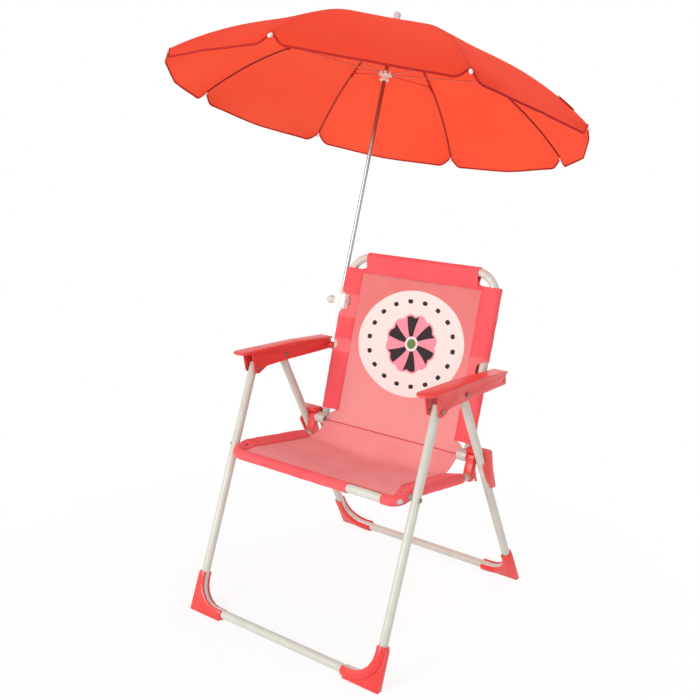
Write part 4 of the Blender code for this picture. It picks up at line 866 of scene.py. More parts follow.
def shown_data(piece: bpy.types.Object) -> bpy.types.Mesh:
    """Mesh that a piece shows with its modifiers."""
    bpy.context.view_layer.update()
    shown = piece.evaluated_get(bpy.context.evaluated_depsgraph_get())
    return bpy.data.meshes.new_from_object(shown)


def apply_modifiers(piece: bpy.types.Object) -> bpy.types.Object:
    """Writes a piece's modifiers into its mesh."""
    data = shown_data(piece)
    piece.modifiers.clear()
    piece.data = data
    return piece


def smooth_by_angle(piece: bpy.types.Object, degrees: float) -> bpy.types.Object:
    """Shades a piece smooth except over its sharp edges."""
    piece.data.shade_smooth()
    piece.data.set_sharp_from_angle(angle=math.radians(degrees))
    return piece


def face_outwards(piece: bpy.types.Object) -> bpy.types.Object:
    """Turns the faces of closed shells outwards."""
    work = bmesh.new()
    work.from_mesh(piece.data)
    bmesh.ops.recalc_face_normals(work, faces=work.faces)
    work.to_mesh(piece.data)
    work.free()
    return piece


def thicken(piece: bpy.types.Object, thickness: float) -> bpy.types.Object:
    """Gives a layer of cloth its thickness, half to each side."""
    solid = piece.modifiers.new("thickness", "SOLIDIFY")
    solid.thickness = thickness
    solid.offset = 0.0
    return apply_modifiers(piece)


def two_tone(
    piece: bpy.types.Object,
    finish: Finish,
    chosen: Callable[[bpy.types.MeshPolygon], bool],
) -> bpy.types.Object:
    """Gives the chosen faces of a piece a second finish."""
    piece.data.materials.append(finish.material())
    for face in piece.data.polygons:
        if chosen(face):
            face.material_index = len(piece.data.materials) - 1
    return piece


def soften(
    piece: bpy.types.Object, width: float, segments: int = 2
) -> bpy.types.Object:
    """Rounds the sharp edges of a piece."""
    bevel = piece.modifiers.new("edges", "BEVEL")
    bevel.width = width
    bevel.segments = segments
    bevel.limit_method = "ANGLE"
    bevel.angle_limit = math.radians(ROUNDED_ANGLE)
    bevel.miter_outer = "MITER_ARC"
    return smooth_by_angle(apply_modifiers(piece), MOULDED_ANGLE)


def joined(name: str, pieces: Sequence[bpy.types.Object]) -> bpy.types.Object:
    """One object from several finished ones, keeping their finishes."""
    whole = bmesh.new()
    materials = []
    for piece in pieces:
        start = len(whole.faces)
        whole.from_mesh(piece.data)
        whole.faces.ensure_lookup_table()
        for face in whole.faces[start:]:
            face.material_index += len(materials)
        materials += piece.data.materials
        bpy.data.objects.remove(piece)
    data = to_data(whole, name)
    for material in materials:
        data.materials.append(material)
    return placed(name, data)


def cut(
    piece: bpy.types.Object, cutters: Sequence[bpy.types.Object]
) -> bpy.types.Object:
    """Cuts solids out of a piece and removes them."""
    for cutter in cutters:
        knife = piece.modifiers.new(cutter.name, "BOOLEAN")
        knife.operation = "DIFFERENCE"
        knife.object = cutter
        knife.solver = "EXACT"
    apply_modifiers(piece)
    for cutter in cutters:
        bpy.data.objects.remove(cutter)
    return piece


def rod(
    name: str,
    finish: Finish,
    path: Sequence[Vector],
    outline: Sequence[Vector],
    normal: Vector,
    origin: Vector = ORIGIN,
    angle: float = SMOOTH_ANGLE,
    scales: Sequence[float] | None = None,
) -> bpy.types.Object:
    """Solid swept along a path.

    Args:
        name: Name of the piece.
        finish: Its finish.
        path: Places the outline's origin runs through.
        outline: Flat outline.
        normal: Direction that the outline's Y keeps closest to.
        origin: The chair's origin in the frame.
        angle: Sharpest edge that is shaded smooth, in degrees.
        scales: Size of the outline at each place.

    Returns:
        The solid.
    """
    shape = Shape()
    shape.shell(shape.sweep(path, outline, normal, scales))
    return shape.solid(name, finish, origin, angle)


def layer(
    name: str,
    finish: Finish,
    rows: Sequence[Sequence[Spot]],
    thickness: float,
    origin: Vector = ORIGIN,
) -> bpy.types.Object:
    """Cloth of a thickness through rows of places with their cloth marks."""
    shape = Shape()
    shape.cloth(rows)
    return thicken(shape.done(name, finish, origin), thickness)


def ripple(place: Vector, scale: float, depth: float, seed: float = 0.0) -> float:
    """Smooth repeatable unevenness of hand-sewn cloth at a place."""
    return depth * noise.noise(place * scale + Vector((seed, seed, seed)))


def dress(
    piece: bpy.types.Object, body: str, finish: Finish, nodes: Sequence[str] = ()
) -> bpy.types.Object:
    """Hands a finished piece to the frame.

    Args:
        piece: The finished piece.
        body: Name of the body that carries it.
        finish: Not used.
        nodes: Solids of the frame that it stands for.

    Returns:
        The piece.
    """
    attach(piece, body)
    if nodes:
        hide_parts(*nodes)
    LOG.info("%s rides on %s with %d faces", piece.name, body, len(piece.data.polygons))
    return piece


def softened_solid(
    node: str, name: str, finish: Finish, width: float
) -> bpy.types.Object:
    """Copy of a solid of the frame with its moulded edges rounded.

    Args:
        node: Name of the solid.
        name: Name of the new piece.
        finish: Finish of the new piece.
        width: Width of the rounded edges.

    Returns:
        The new piece.
    """
    work = bmesh.new()
    work.from_mesh(frame["nodes"][node].data)
    bmesh.ops.remove_doubles(work, verts=work.verts, dist=0.00002)
    bmesh.ops.dissolve_limit(
        work, angle_limit=math.radians(2), verts=work.verts, edges=work.edges
    )
    return soften(placed(name, to_data(work, name, finish)), width)


class InstanceTree(Tree):
    """Geometry Nodes that set copies of a small solid on the points of a guide."""

    def __init__(self, name: str) -> None:
        """Starts a tree with its geometry sockets."""
        super().__init__(bpy.data.node_groups.new(name, "GeometryNodeTree"))
        for label, way in (("Guide", "INPUT"), ("Copies", "OUTPUT")):
            self.tree.interface.new_socket(
                label, in_out=way, socket_type="NodeSocketGeometry"
            )
        self.values: dict[str, object] = {}

    def socket(self, label: str, kind: str, value: object) -> None:
        """Adds a named input and remembers the value it is set to."""
        made = self.tree.interface.new_socket(label, in_out="INPUT", socket_type=kind)
        self.values[made.identifier] = value

    def copies(
        self,
        points: bpy.types.NodeSocket,
        instance: bpy.types.NodeSocket,
        way: bpy.types.NodeSocket,
        finish: Finish,
        **sockets: object,
    ) -> None:
        """Sets real copies on points, which ends the tree.

        Args:
            points: Geometry whose points take the copies.
            instance: Geometry of one copy.
            way: Direction of each copy's Z axis.
            finish: Finish of the copies.
            sockets: Other inputs of the node that sets them.
        """
        turn = self.out("FunctionNodeAlignRotationToVector", {"Vector": way}, axis="Z")
        sockets |= {"Points": points, "Instance": instance, "Rotation": turn}
        copies = self.out("GeometryNodeInstanceOnPoints", sockets)
        real = self.out("GeometryNodeRealizeInstances", {0: copies})
        painted = {"Geometry": real, "Material": finish.material()}
        self.node("NodeGroupOutput", {0: self.out("GeometryNodeSetMaterial", painted)})

    def run(self, name: str, guide_data: bpy.types.ID) -> bpy.types.Object:
        """Runs the tree on a guide and returns the result as a plain mesh."""
        guide = placed(name + "_guide", guide_data)
        modifier = guide.modifiers.new(self.tree.name, "NODES")
        modifier.node_group = self.tree
        for identifier, value in self.values.items():
            modifier[identifier] = value
        data = shown_data(guide)
        data.name = name
        bpy.data.objects.remove(guide)
        return placed(name, data)


@dataclass
class StitchRow:
    """Rows of sewn stitches along lines on cloth."""

    pitch: float = 0.0042
    length: float = 0.0030
    radius: float = 0.00038
    proud: float = 1.1
    slope: float = 0.35

    def lift(self, cloth: float, inset: float) -> float:
        """Height of stitches over a cloth's middle, at an inset from its seam."""
        return cloth * self.proud + inset * self.slope

    def sew(
        self, name: str, body: str, lines: Sequence[Sequence[Vector]], origin: Vector
    ) -> None:
        """Sews the stitches as one mesh.

        Args:
            name: Name of the piece.
            body: Name of the body that carries it.
            lines: Lines the stitches follow, in the chair's places.
            origin: The chair's origin in the frame.
        """
        curve = bpy.data.curves.new(name + "_guide", "CURVE")
        curve.dimensions = "3D"
        for line in lines:
            spline = curve.splines.new("POLY")
            spline.points.add(len(line) - 1)
            for point, place in zip(spline.points, line):
                point.co = (*(place + origin), 1.0)
        work = InstanceTree(name + "_tree")
        work.socket("Pitch", "NodeSocketFloat", self.pitch)
        work.socket("Stitch Length", "NodeSocketFloat", self.length)
        work.socket("Thread Radius", "NodeSocketFloat", self.radius)
        start = work.node("NodeGroupInput").outputs
        sockets = {"Curve": start["Guide"], "Length": start["Pitch"]}
        spaced = work.out("GeometryNodeResampleCurve", sockets, mode="LENGTH")
        radius = start["Thread Radius"]
        sockets = {"Segments": 6, "Rings": 4, "Radius": radius}
        bead = work.out("GeometryNodeMeshUVSphere", sockets)
        half = Number(work, start["Stitch Length"]) / Number(work, radius) * 0.5
        size = work.out("ShaderNodeCombineXYZ", {0: 1.0, 1: 1.0, 2: half})
        tangent = work.out("GeometryNodeInputTangent")
        work.copies(spaced, bead, tangent, THREAD, Scale=size)
        piece = work.run(name, curve)
        piece.data.shade_smooth()
        dress(piece, body, THREAD)


# The chair


@dataclass
class ChairPlan:
    """Driving sizes of the chair, and its places read from the frame's joints."""

    tube_radius: float = 0.0065
    tube_wall: float = 0.0010
    tube_sides: int = 28
    leg_x: float = 0.1697
    cross_height: float = 0.0092
    leg_bend: float = 0.040
    front_cross_y: float = -0.0543
    front_lean: float = math.radians(21.7)
    rear_cross_y: float = 0.3232
    rear_lean: float = math.radians(-25.96)
    leg_stub: float = 0.0085
    back_x: float = 0.1390
    back_recline: float = math.radians(16.8)
    back_foot_y: float = 0.2230
    back_foot_z: float = 0.2445
    back_length: float = 0.2737
    back_bend: float = 0.040
    seat_x: float = 0.1535
    seat_fall: float = math.radians(10)
    seat_run: float = 0.160
    seat_front_reach: float = 0.0214
    seat_front_drop: float = 0.0025
    seat_bend: float = 0.018
    seat_kink: float = 0.030
    seat_kink_behind: float = 0.010

    def __post_init__(self) -> None:
        """Reads the pivots from the joints and works out the chair's origin."""
        fold = Vector(JOINTS["fold"]["pos_m"])
        front_y = self.leg_place(self.front_cross_y, self.front_lean, fold.z).x
        self.origin = Vector((fold.x, fold.y - front_y, 0.0))
        self.arm_front = self.pivot("fold")
        self.arm_middle = self.pivot("rear_legs_turn")
        self.arm_rear = self.pivot("back_turn")
        self.seat_front = self.pivot("seat_turn")
        self.back_foot = Vector((self.back_foot_y, self.back_foot_z))
        self.back_way = Vector(
            (math.sin(self.back_recline), math.cos(self.back_recline))
        )
        self.seat_way = Vector((math.cos(self.seat_fall), -math.sin(self.seat_fall)))
        self.seat_bar = self.seat_front - Vector(
            (self.seat_front_reach, self.seat_front_drop)
        )
        ahead = (self.seat_front - self.seat_bar).normalized()
        self.seat_bent = self.seat_front + ahead * self.seat_kink_behind
        self.seat_end = self.seat_bent + self.seat_way * (
            self.seat_run - self.seat_kink_behind
        )

    def pivot(self, joint: str) -> Vector:
        """Side view place (y, z) of a joint in the chair's own places."""
        place = Vector(JOINTS[joint]["pos_m"]) - self.origin
        return Vector((place.y, place.z))

    @staticmethod
    def leg_place(cross_y: float, lean: float, height: float) -> Vector:
        """Side view place (y, z) of a leg's axis at a height."""
        return Vector(
            (cross_y + (height - ChairPlan.cross_height) * math.tan(lean), height)
        )

    @staticmethod
    def on_side(x: float, place: Vector) -> Vector:
        """Place in space from an x and a side view place."""
        return Vector((x, place.x, place.y))

    def back_place(self, x: float, depth: float, along: float) -> Vector:
        """Place from x, depth behind the back's plane and distance up the back."""
        square = Vector((self.back_way.y, -self.back_way.x))
        side = self.back_foot + self.back_way * along + square * depth
        return self.on_side(x, side)

    @property
    def back_square(self) -> Vector:
        """Direction square to the back, towards the rear."""
        return Vector((0, self.back_way.y, -self.back_way.x))

    def leg_path(self, cross_y: float, lean: float, top: float) -> list[Vector]:
        """Middle line of a leg frame, from the right top to the left top."""
        high = self.leg_place(cross_y, lean, top)
        low = self.leg_place(cross_y, lean, self.cross_height)
        corners = [
            self.on_side(self.leg_x, high),
            self.on_side(self.leg_x, low),
            self.on_side(-self.leg_x, low),
            self.on_side(-self.leg_x, high),
        ]
        return rounded_path(corners, (self.leg_bend, self.leg_bend))

    def back_path(self) -> list[Vector]:
        """Middle line of the back tube, from the right foot to the left."""
        corners = [
            self.back_place(self.back_x, 0, 0),
            self.back_place(self.back_x, 0, self.back_length),
            self.back_place(-self.back_x, 0, self.back_length),
            self.back_place(-self.back_x, 0, 0),
        ]
        return rounded_path(corners, (self.back_bend, self.back_bend))

    def seat_path(self) -> list[Vector]:
        """Middle line of the seat tube, from the right rear end to the left."""
        right = [
            self.on_side(self.seat_x, self.seat_end),
            self.on_side(self.seat_x, self.seat_bent),
            self.on_side(self.seat_x, self.seat_bar),
        ]
        left = [Vector((-p.x, p.y, p.z)) for p in right[::-1]]
        bends = (self.seat_kink, self.seat_bend, self.seat_bend, self.seat_kink)
        return rounded_path(right + left, bends)


@dataclass
class SteelFrames:
    """The four bent tubes: front legs, rear legs, seat and back."""

    plan: ChairPlan
    lip: float = 0.0003
    bore_depth: float = 0.018

    def tube(
        self, name: str, body: Body, path: Sequence[Vector], normal: Vector
    ) -> None:
        """Builds a hollow tube with open, slightly rounded ends.

        Args:
            name: Solid of the frame that it stands for.
            body: Body that carries it.
            path: Its middle line.
            normal: Direction square to the plane it is bent in.
        """
        plan = self.plan
        first = (path[1] - path[0]).normalized()
        last = (path[-2] - path[-1]).normalized()
        stations = [path[0], path[0] + first * self.lip, *path[1:-1]]
        stations += [path[-1] + last * self.lip, path[-1]]
        lip = 1 - self.lip / plan.tube_radius
        scales = [lip] + [1.0] * (len(stations) - 2) + [lip]
        shape = Shape()
        outline = polygon(plan.tube_radius, plan.tube_sides)
        outer = shape.sweep(stations, outline, normal, scales)
        shape.skin(outer)
        bore = 1 - plan.tube_wall / plan.tube_radius
        ends = ((outer[0], path[0], first), (outer[-1], path[-1], last))
        for end, centre, inwards in ends:
            mouth = shape.ring(centre + (v.co - centre) * bore for v in end)
            deep = shape.ring(v.co + inwards * self.bore_depth for v in mouth)
            shape.skin([end, mouth, deep])
            shape.face(deep)
        piece = shape.solid(name + "_tube", POWDER_COAT, plan.origin, METAL_ANGLE)
        dress(piece, body.value, POWDER_COAT, [name])

    def build(self) -> None:
        """Builds the four tubes."""
        plan = self.plan
        legs = (
            ("front_frame", Body.FRONT, plan.front_cross_y, plan.front_lean),
            ("rear_frame", Body.REAR, plan.rear_cross_y, plan.rear_lean),
        )
        tops = (plan.arm_front, plan.arm_middle)
        for (name, body, cross, lean), top in zip(legs, tops):
            height = top.y + plan.leg_stub * math.cos(lean)
            rise = Vector((0, math.sin(lean), math.cos(lean)))
            path = plan.leg_path(cross, lean, height)
            self.tube(name, body, path, ACROSS.cross(rise))
        self.tube("seat_frame", Body.SEAT, plan.seat_path(), UP)
        self.tube("back_frame", Body.BACK, plan.back_path(), plan.back_square)


@dataclass
class MouldedParts:
    """Armrests, feet, hinge brackets and seat ends, with rounded edges."""

    plan: ChairPlan
    armrest_edge: float = 0.0011
    foot_edge: float = 0.0006
    bracket_edge: float = 0.0006
    end_edge: float = 0.0012
    stub_x: float = 0.1450

    def on_stub(self, face: bpy.types.MeshPolygon) -> bool:
        """Whether a face of a bracket belongs to the white stub on its inner side."""
        return abs(face.center.x - self.plan.origin.x) < self.stub_x

    def build(self) -> None:
        """Builds the moulded pieces of both sides."""
        for side in Side:
            parts = (
                ("armrest", Body.armrest(side), self.armrest_edge),
                ("front_foot", Body.FRONT.value, self.foot_edge),
                ("rear_foot", Body.REAR.value, self.foot_edge),
                ("hinge_bracket", Body.BACK.value, self.bracket_edge),
                ("seat_end", Body.SEAT.value, self.end_edge),
            )
            for base, body, width in parts:
                node = side.named(base)
                piece = softened_solid(node, node + "_moulded", CORAL_PLASTIC, width)
                if base == "hinge_bracket":
                    two_tone(piece, POWDER_COAT, self.on_stub)
                dress(piece, body, CORAL_PLASTIC, [node])


@dataclass
class Rivets:
    """Domed rivets of the side linkage, set as copies on their axes."""

    plan: ChairPlan
    head_radius: float = 0.0035
    foot_share: float = 0.97
    rim: float = 0.0003
    dome: float = 0.0015
    dome_step: float = 15.0
    dome_steps: int = 5
    shank: float = 0.0030
    shank_radius: float = 0.0020
    inset: float = 0.0014
    sides: int = 20

    def head(self) -> bpy.types.Object:
        """One domed head with a stub of shank, its dome towards +Z."""
        profile = [(-self.shank, self.shank_radius), (0.0, self.shank_radius)]
        profile.append((0.0, self.head_radius * self.foot_share))
        for k in range(self.dome_steps + 1):
            turn = math.radians(self.dome_step * k)
            height = self.rim + self.dome * math.sin(turn)
            profile.append((height, self.head_radius * math.cos(turn)))
        shape = Shape()
        shape.turned(profile, self.sides, Matrix.Identity(4))
        return shape.solid("rivet_head", RIVET_STEEL)

    def set_heads(self, body: str, nodes: Sequence[str]) -> None:
        """Sets both heads of some rivets, as one mesh.

        Args:
            body: Name of the body that carries them.
            nodes: Solids of the rivets.
        """
        places = []
        ways = []
        for node in nodes:
            low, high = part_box(node)
            middle = (low + high) / 2
            for x, way in ((low.x + self.inset, -1.0), (high.x - self.inset, 1.0)):
                places.append((x, middle.y, middle.z))
                ways += (way, 0.0, 0.0)
        name = f"rivets_{body}"
        data = bpy.data.meshes.new(name + "_guide")
        data.from_pydata(places, [], [])
        facing = data.attributes.new("facing", "FLOAT_VECTOR", "POINT")
        facing.data.foreach_set("vector", ways)
        head = self.head()
        work = InstanceTree(name + "_tree")
        work.socket("Head", "NodeSocketObject", head)
        start = work.node("NodeGroupInput").outputs
        shown = work.node("GeometryNodeObjectInfo", {0: start["Head"]})
        way = work.out(
            "GeometryNodeInputNamedAttribute", {0: "facing"}, data_type="FLOAT_VECTOR"
        )
        work.copies(start["Guide"], shown.outputs["Geometry"], way, RIVET_STEEL)
        piece = work.run(name, data)
        bpy.data.objects.remove(head)
        dress(smooth_by_angle(piece, SMOOTH_ANGLE), body, RIVET_STEEL, nodes)

    def build(self) -> None:
        """Builds the rivets of each body."""
        for body, bases in (
            (Body.FRONT, ("arm_front_rivet", "seat_front_rivet")),
            (Body.BACK, ("arm_rear_rivet", "seat_rear_rivet")),
        ):
            nodes = [side.named(base) for base in bases for side in Side]
            self.set_heads(body.value, nodes)
        for side in Side:
            self.set_heads(Body.armrest(side), [side.named("arm_middle_rivet")])


@dataclass
class Sleeve:
    """Cross-section of cloth folded round a tube and sewn to itself beside it."""

    reach: float
    radius: float = 0.0073
    gap: float = 0.0005
    steps: int = 18
    flat_shares: tuple[float, float] = (0.35, 0.7)

    def loop(self) -> list[tuple[Vector, float]]:
        """Closed outline with its run: x away from the seam, y to the front.

        Returns:
            Pairs of flat place, counted from the tube's middle with the seam at
            -reach, and distance round the loop.
        """
        lean = math.pi - math.acos(self.radius / self.reach)
        turns = even(lean, -lean, self.steps)
        curve = [self.radius * Vector((math.cos(t), math.sin(t))) for t in turns]
        points = [Vector((-self.reach, self.gap))]
        points += [points[0].lerp(curve[0], share) for share in self.flat_shares]
        points += curve
        points += [Vector((p.x, -p.y)) for p in points[2::-1]]
        runs = [0.0]
        for before, after in zip(points, points[1:]):
            runs.append(runs[-1] + (after - before).length)
        return list(zip(points, runs))

    @property
    def length(self) -> float:
        """Cloth that the loop takes."""
        return self.loop()[-1][1]


@dataclass(frozen=True)
class Notch:
    """Cut in a side sleeve that bares the tube, with single cloth about it."""

    centre: float
    half: float
    flare: float
    depth: float
    bare_below: float
    bare_above: float
    rounding: float = 0.005
    outer_reach: float = 0.014

    def outline(self, tube_x: float) -> list[Vector]:
        """Edge of the cut, as places across and along the back."""
        middle = Vector((tube_x - self.depth + self.rounding, self.centre))
        edge = arc(middle, Vector((self.rounding, self.half)), -90, -180, 8)
        outer = tube_x + self.outer_reach
        mouth = self.half * self.flare
        start = Vector((outer, self.centre - mouth))
        return [start, *edge, Vector((outer, self.centre + mouth))]

    def bares(self, along: float) -> bool:
        """Whether the cloth is single at a place along the sleeve."""
        return -self.bare_below < along - self.centre < self.bare_above


@dataclass
class BackSling:
    """Cloth of the back: single sheet, side sleeves and top sleeve."""

    plan: ChairPlan
    cloth: float = 0.0008
    seam_reach: float = 0.0260
    overlap: float = 0.0030
    foot_half: float = 0.1283
    foot_widening: float = 0.0020
    sleeve_foot: float = 0.0150
    sleeve_top: float = 0.2530
    top_half: float = 0.1050
    sheet_foot: float = -0.0045
    foot_forward: float = 0.0050
    foot_run: float = 0.0300
    sag: float = 0.0075
    rows: int = 40
    columns: int = 36
    sleeve_rows: int = 66
    corner_round: float = 0.0090
    corner_tuck: float = 0.0060
    corner_thick: float = 0.0018
    left_arm: Notch = Notch(0.0035, 0.0070, 1.5, 0.0040, 0.0105, 0.0105)
    right_arm: Notch = Notch(0.0070, 0.0100, 1.9, 0.0098, 0.0175, 0.0175)
    clamp: Notch = Notch(0.1950, 0.0110, 2.2, 0.0130, 0.0265, 0.0140)
    ripple_scale: float = 30.0
    ripple_depth: float = 0.0016
    sag_ends: float = 0.35
    crease_scale: float = 26.0
    crease_depth: float = 0.0006
    sleeve_depth: float = 0.0010
    tuck_from: float = 0.004
    gather: float = 60.0
    top_depth: float = 0.0007
    top_hang: float = 0.2
    top_pieces: int = 24
    round_steps: int = 6
    sleeve_scale: float = 70.0
    seam_step: float = 0.003
    seam_piece: float = 0.008
    cutter_half: float = 0.02

    def depth(self, x: float, along: float) -> float:
        """How far the sheet hangs behind the tubes' plane."""
        plan = self.plan
        seam = plan.back_x - self.seam_reach
        share = min(1.0, abs(x) / seam)
        rise = along / plan.back_length
        risen = max(0.0, min(1.0, (along - self.sheet_foot) / self.foot_run))
        hang = self.sag * risen * (1 - share * share)
        hang *= self.sag_ends + (1 - self.sag_ends) * math.sin(math.pi * rise)
        hang -= self.foot_forward * (1 - risen) ** 2
        place = Vector((x, 0.0, along))
        fade = (1 - share**6) * risen
        wave = ripple(place, self.ripple_scale, self.ripple_depth)
        crease = Vector((x * 4, along, 0))
        wave += ripple(crease, self.crease_scale, self.crease_depth, 7.0)
        return hang + wave * fade

    def sheet(self) -> bpy.types.Object:
        """Single layer between the seams."""
        plan = self.plan
        top = plan.back_length - self.seam_reach + self.overlap
        rows = []
        for along in even(self.sheet_foot, top, self.rows):
            half = plan.back_x - self.seam_reach + self.overlap
            if along < self.sleeve_foot:
                share = min(1.0, (self.sleeve_foot - along) / self.foot_widening)
                half += (self.foot_half - half) * share
            row = []
            for x in even(-half, half, self.columns):
                spot = plan.back_place(x, self.depth(x, along), along)
                row.append((spot, (x, along)))
            rows.append(row)
        piece = layer("back_sheet", BACK_CLOTH, rows, self.cloth, plan.origin)
        return smooth_by_angle(
            two_tone(piece, BACK_LINING, self.faces_rear), SMOOTH_ANGLE
        )

    def faces_rear(self, face: bpy.types.MeshPolygon) -> bool:
        """Whether a face of the sheet is on its unprinted rear side."""
        return face.normal.dot(self.plan.back_square) > 0

    def sleeve(
        self,
        name: str,
        marks: Sequence[float],
        spot: Callable[[Vector, float, float], Spot],
    ) -> bpy.types.Object:
        """Doubled cloth round a straight run of tube.

        Args:
            name: Name of the piece.
            marks: Places along the tube.
            spot: Place and cloth mark from a place of the loop, its run and a mark.

        Returns:
            The sleeve.
        """
        loop = Sleeve(self.seam_reach).loop()
        rows = [[spot(place, run, mark) for place, run in loop] for mark in marks]
        return face_outwards(
            layer(name, DOUBLED_CLOTH, rows, self.cloth, self.plan.origin)
        )

    def side_sleeve(self, side: Side) -> bpy.types.Object:
        """Sleeve round one side tube, notched where the tube is bare."""
        plan = self.plan
        notches = self.notches(side)
        foot = plan.back_place(0.0, 0.0, 0.0) + plan.origin
        way = plan.back_place(0.0, 0.0, 1.0) + plan.origin - foot

        def spot(place: Vector, run: float, along: float) -> Spot:
            """Place on the sleeve, gathered a little by its seam."""
            bend = Vector((place.x * 3, side.value, along))
            wave = ripple(bend, self.sleeve_scale, self.sleeve_depth, 3.0)
            soft = max(0.0, -place.x - self.tuck_from) / self.seam_reach
            tuck = self.depth(plan.back_x - self.seam_reach, along) * soft
            depth = -place.y * (1 + wave * self.gather) + tuck + wave
            x = side.value * (plan.back_x + place.x)
            return plan.back_place(x, depth, along), (run, along)

        def single(face: bpy.types.MeshPolygon) -> bool:
            """Whether a face is where a notch leaves the cloth single."""
            along = (face.center - foot).dot(way)
            return any(notch.bares(along) for notch in notches)

        marks = even(self.sleeve_foot, self.sleeve_top, self.sleeve_rows)
        piece = self.sleeve(side.named("back_sleeve"), marks, spot)
        half = self.cutter_half
        outlines = [notch.outline(plan.back_x) for notch in notches]
        cut(piece, [self.plate("notch", side, edge, half) for edge in outlines])
        return smooth_by_angle(two_tone(piece, TURNED_CLOTH, single), SMOOTH_ANGLE)

    def notches(self, side: Side) -> list[Notch]:
        """Notches of one side sleeve, from the foot up."""
        arm = (self.plan.arm_rear - self.plan.back_foot).length
        if side is Side.RIGHT:
            return [replace(self.right_arm, centre=arm + self.right_arm.centre)]
        return [replace(self.left_arm, centre=arm + self.left_arm.centre), self.clamp]

    def plate(
        self, name: str, side: Side, outline: Sequence[Vector], half: float
    ) -> bpy.types.Object:
        """Flat solid in the back's plane.

        Args:
            name: Name of the solid.
            side: Side of the chair.
            outline: Places outwards from the middle and up the back.
            half: Half of its thickness.

        Returns:
            The solid.
        """
        shape = Shape()

        def place(p: Vector, depth: float) -> Vector:
            """Place in space of a point of the outline at a depth."""
            return self.plan.back_place(side.value * p.x, depth, p.y)

        shape.prism(outline, place, (-half, half))
        return face_outwards(shape.done(name, DOUBLED_CLOTH, self.plan.origin))

    def top_sleeve(self) -> bpy.types.Object:
        """Sleeve round the top of the tube."""
        plan = self.plan

        def spot(place: Vector, run: float, x: float) -> Spot:
            """Place on the sleeve, with small waves."""
            bend = Vector((x, place.x * 3, 5.0))
            wave = ripple(bend, self.sleeve_scale, self.top_depth)
            along = plan.back_length + place.x
            return plan.back_place(x, wave - place.y, along), (x, run)

        marks = even(-self.top_half, self.top_half, self.columns)
        piece = self.sleeve("back_top_sleeve", marks, spot)
        return smooth_by_angle(piece, SMOOTH_ANGLE)

    def top_corner(self, side: Side) -> bpy.types.Object:
        """Doubled cloth with a hollow edge, between top sleeve and side sleeve."""
        inner = self.top_half - self.corner_tuck
        foot = self.sleeve_top - self.corner_tuck
        reach = Vector((self.corner_round, self.corner_round))
        far = Vector((self.top_half, self.sleeve_top)) + reach
        outline = [Vector((inner, foot)), Vector((far.x, foot))]
        outline += arc(far, reach, -90, -90, self.round_steps)
        outline.append(Vector((inner, far.y)))
        return self.plate("corner", side, outline, self.corner_thick / 2)

    def seam_lines(self) -> list[list[Vector]]:
        """Lines of stitching, front and rear."""
        plan = self.plan
        lines = []
        for inset, face in ((0.0, -1), (self.seam_step, -1), (0.0, 1)):
            seam = plan.back_x - self.seam_reach + inset
            proud = face * StitchRow().lift(self.cloth, inset)
            for side in Side:
                x = side.value * seam
                stops = [self.sleeve_foot]
                for notch in self.notches(side):
                    stops.append(notch.centre - notch.bare_below)
                    stops.append(notch.centre + notch.bare_above)
                stops.append(self.sleeve_top)
                for start, stop in zip(stops[::2], stops[1::2]):
                    count = max(2, round((stop - start) / self.seam_piece))
                    line = []
                    for mark in even(start, stop, count):
                        depth = self.depth(seam, mark) + proud
                        line.append(plan.back_place(x, depth, mark))
                    lines.append(line)
            top = plan.back_length - self.seam_reach + inset
            line = []
            for x in even(-self.top_half, self.top_half, self.top_pieces):
                depth = self.depth(x, top) * self.top_hang + proud
                line.append(plan.back_place(x, depth, top))
            lines.append(line)
        return lines

    def build(self) -> None:
        """Builds the back's cloth and its stitching."""
        plan = self.plan
        body = Body.BACK.value
        parts = [self.sheet(), self.top_sleeve()]
        parts += [self.side_sleeve(side) for side in Side]
        parts += [self.top_corner(side) for side in Side]
        piece = joined("back_sling_cloth", parts)
        dress(piece, body, DOUBLED_CLOTH, ["back_sling"])
        turned = Sleeve(self.seam_reach).length - self.seam_reach
        StitchRow().sew("back_sling_stitches", body, self.seam_lines(), plan.origin)


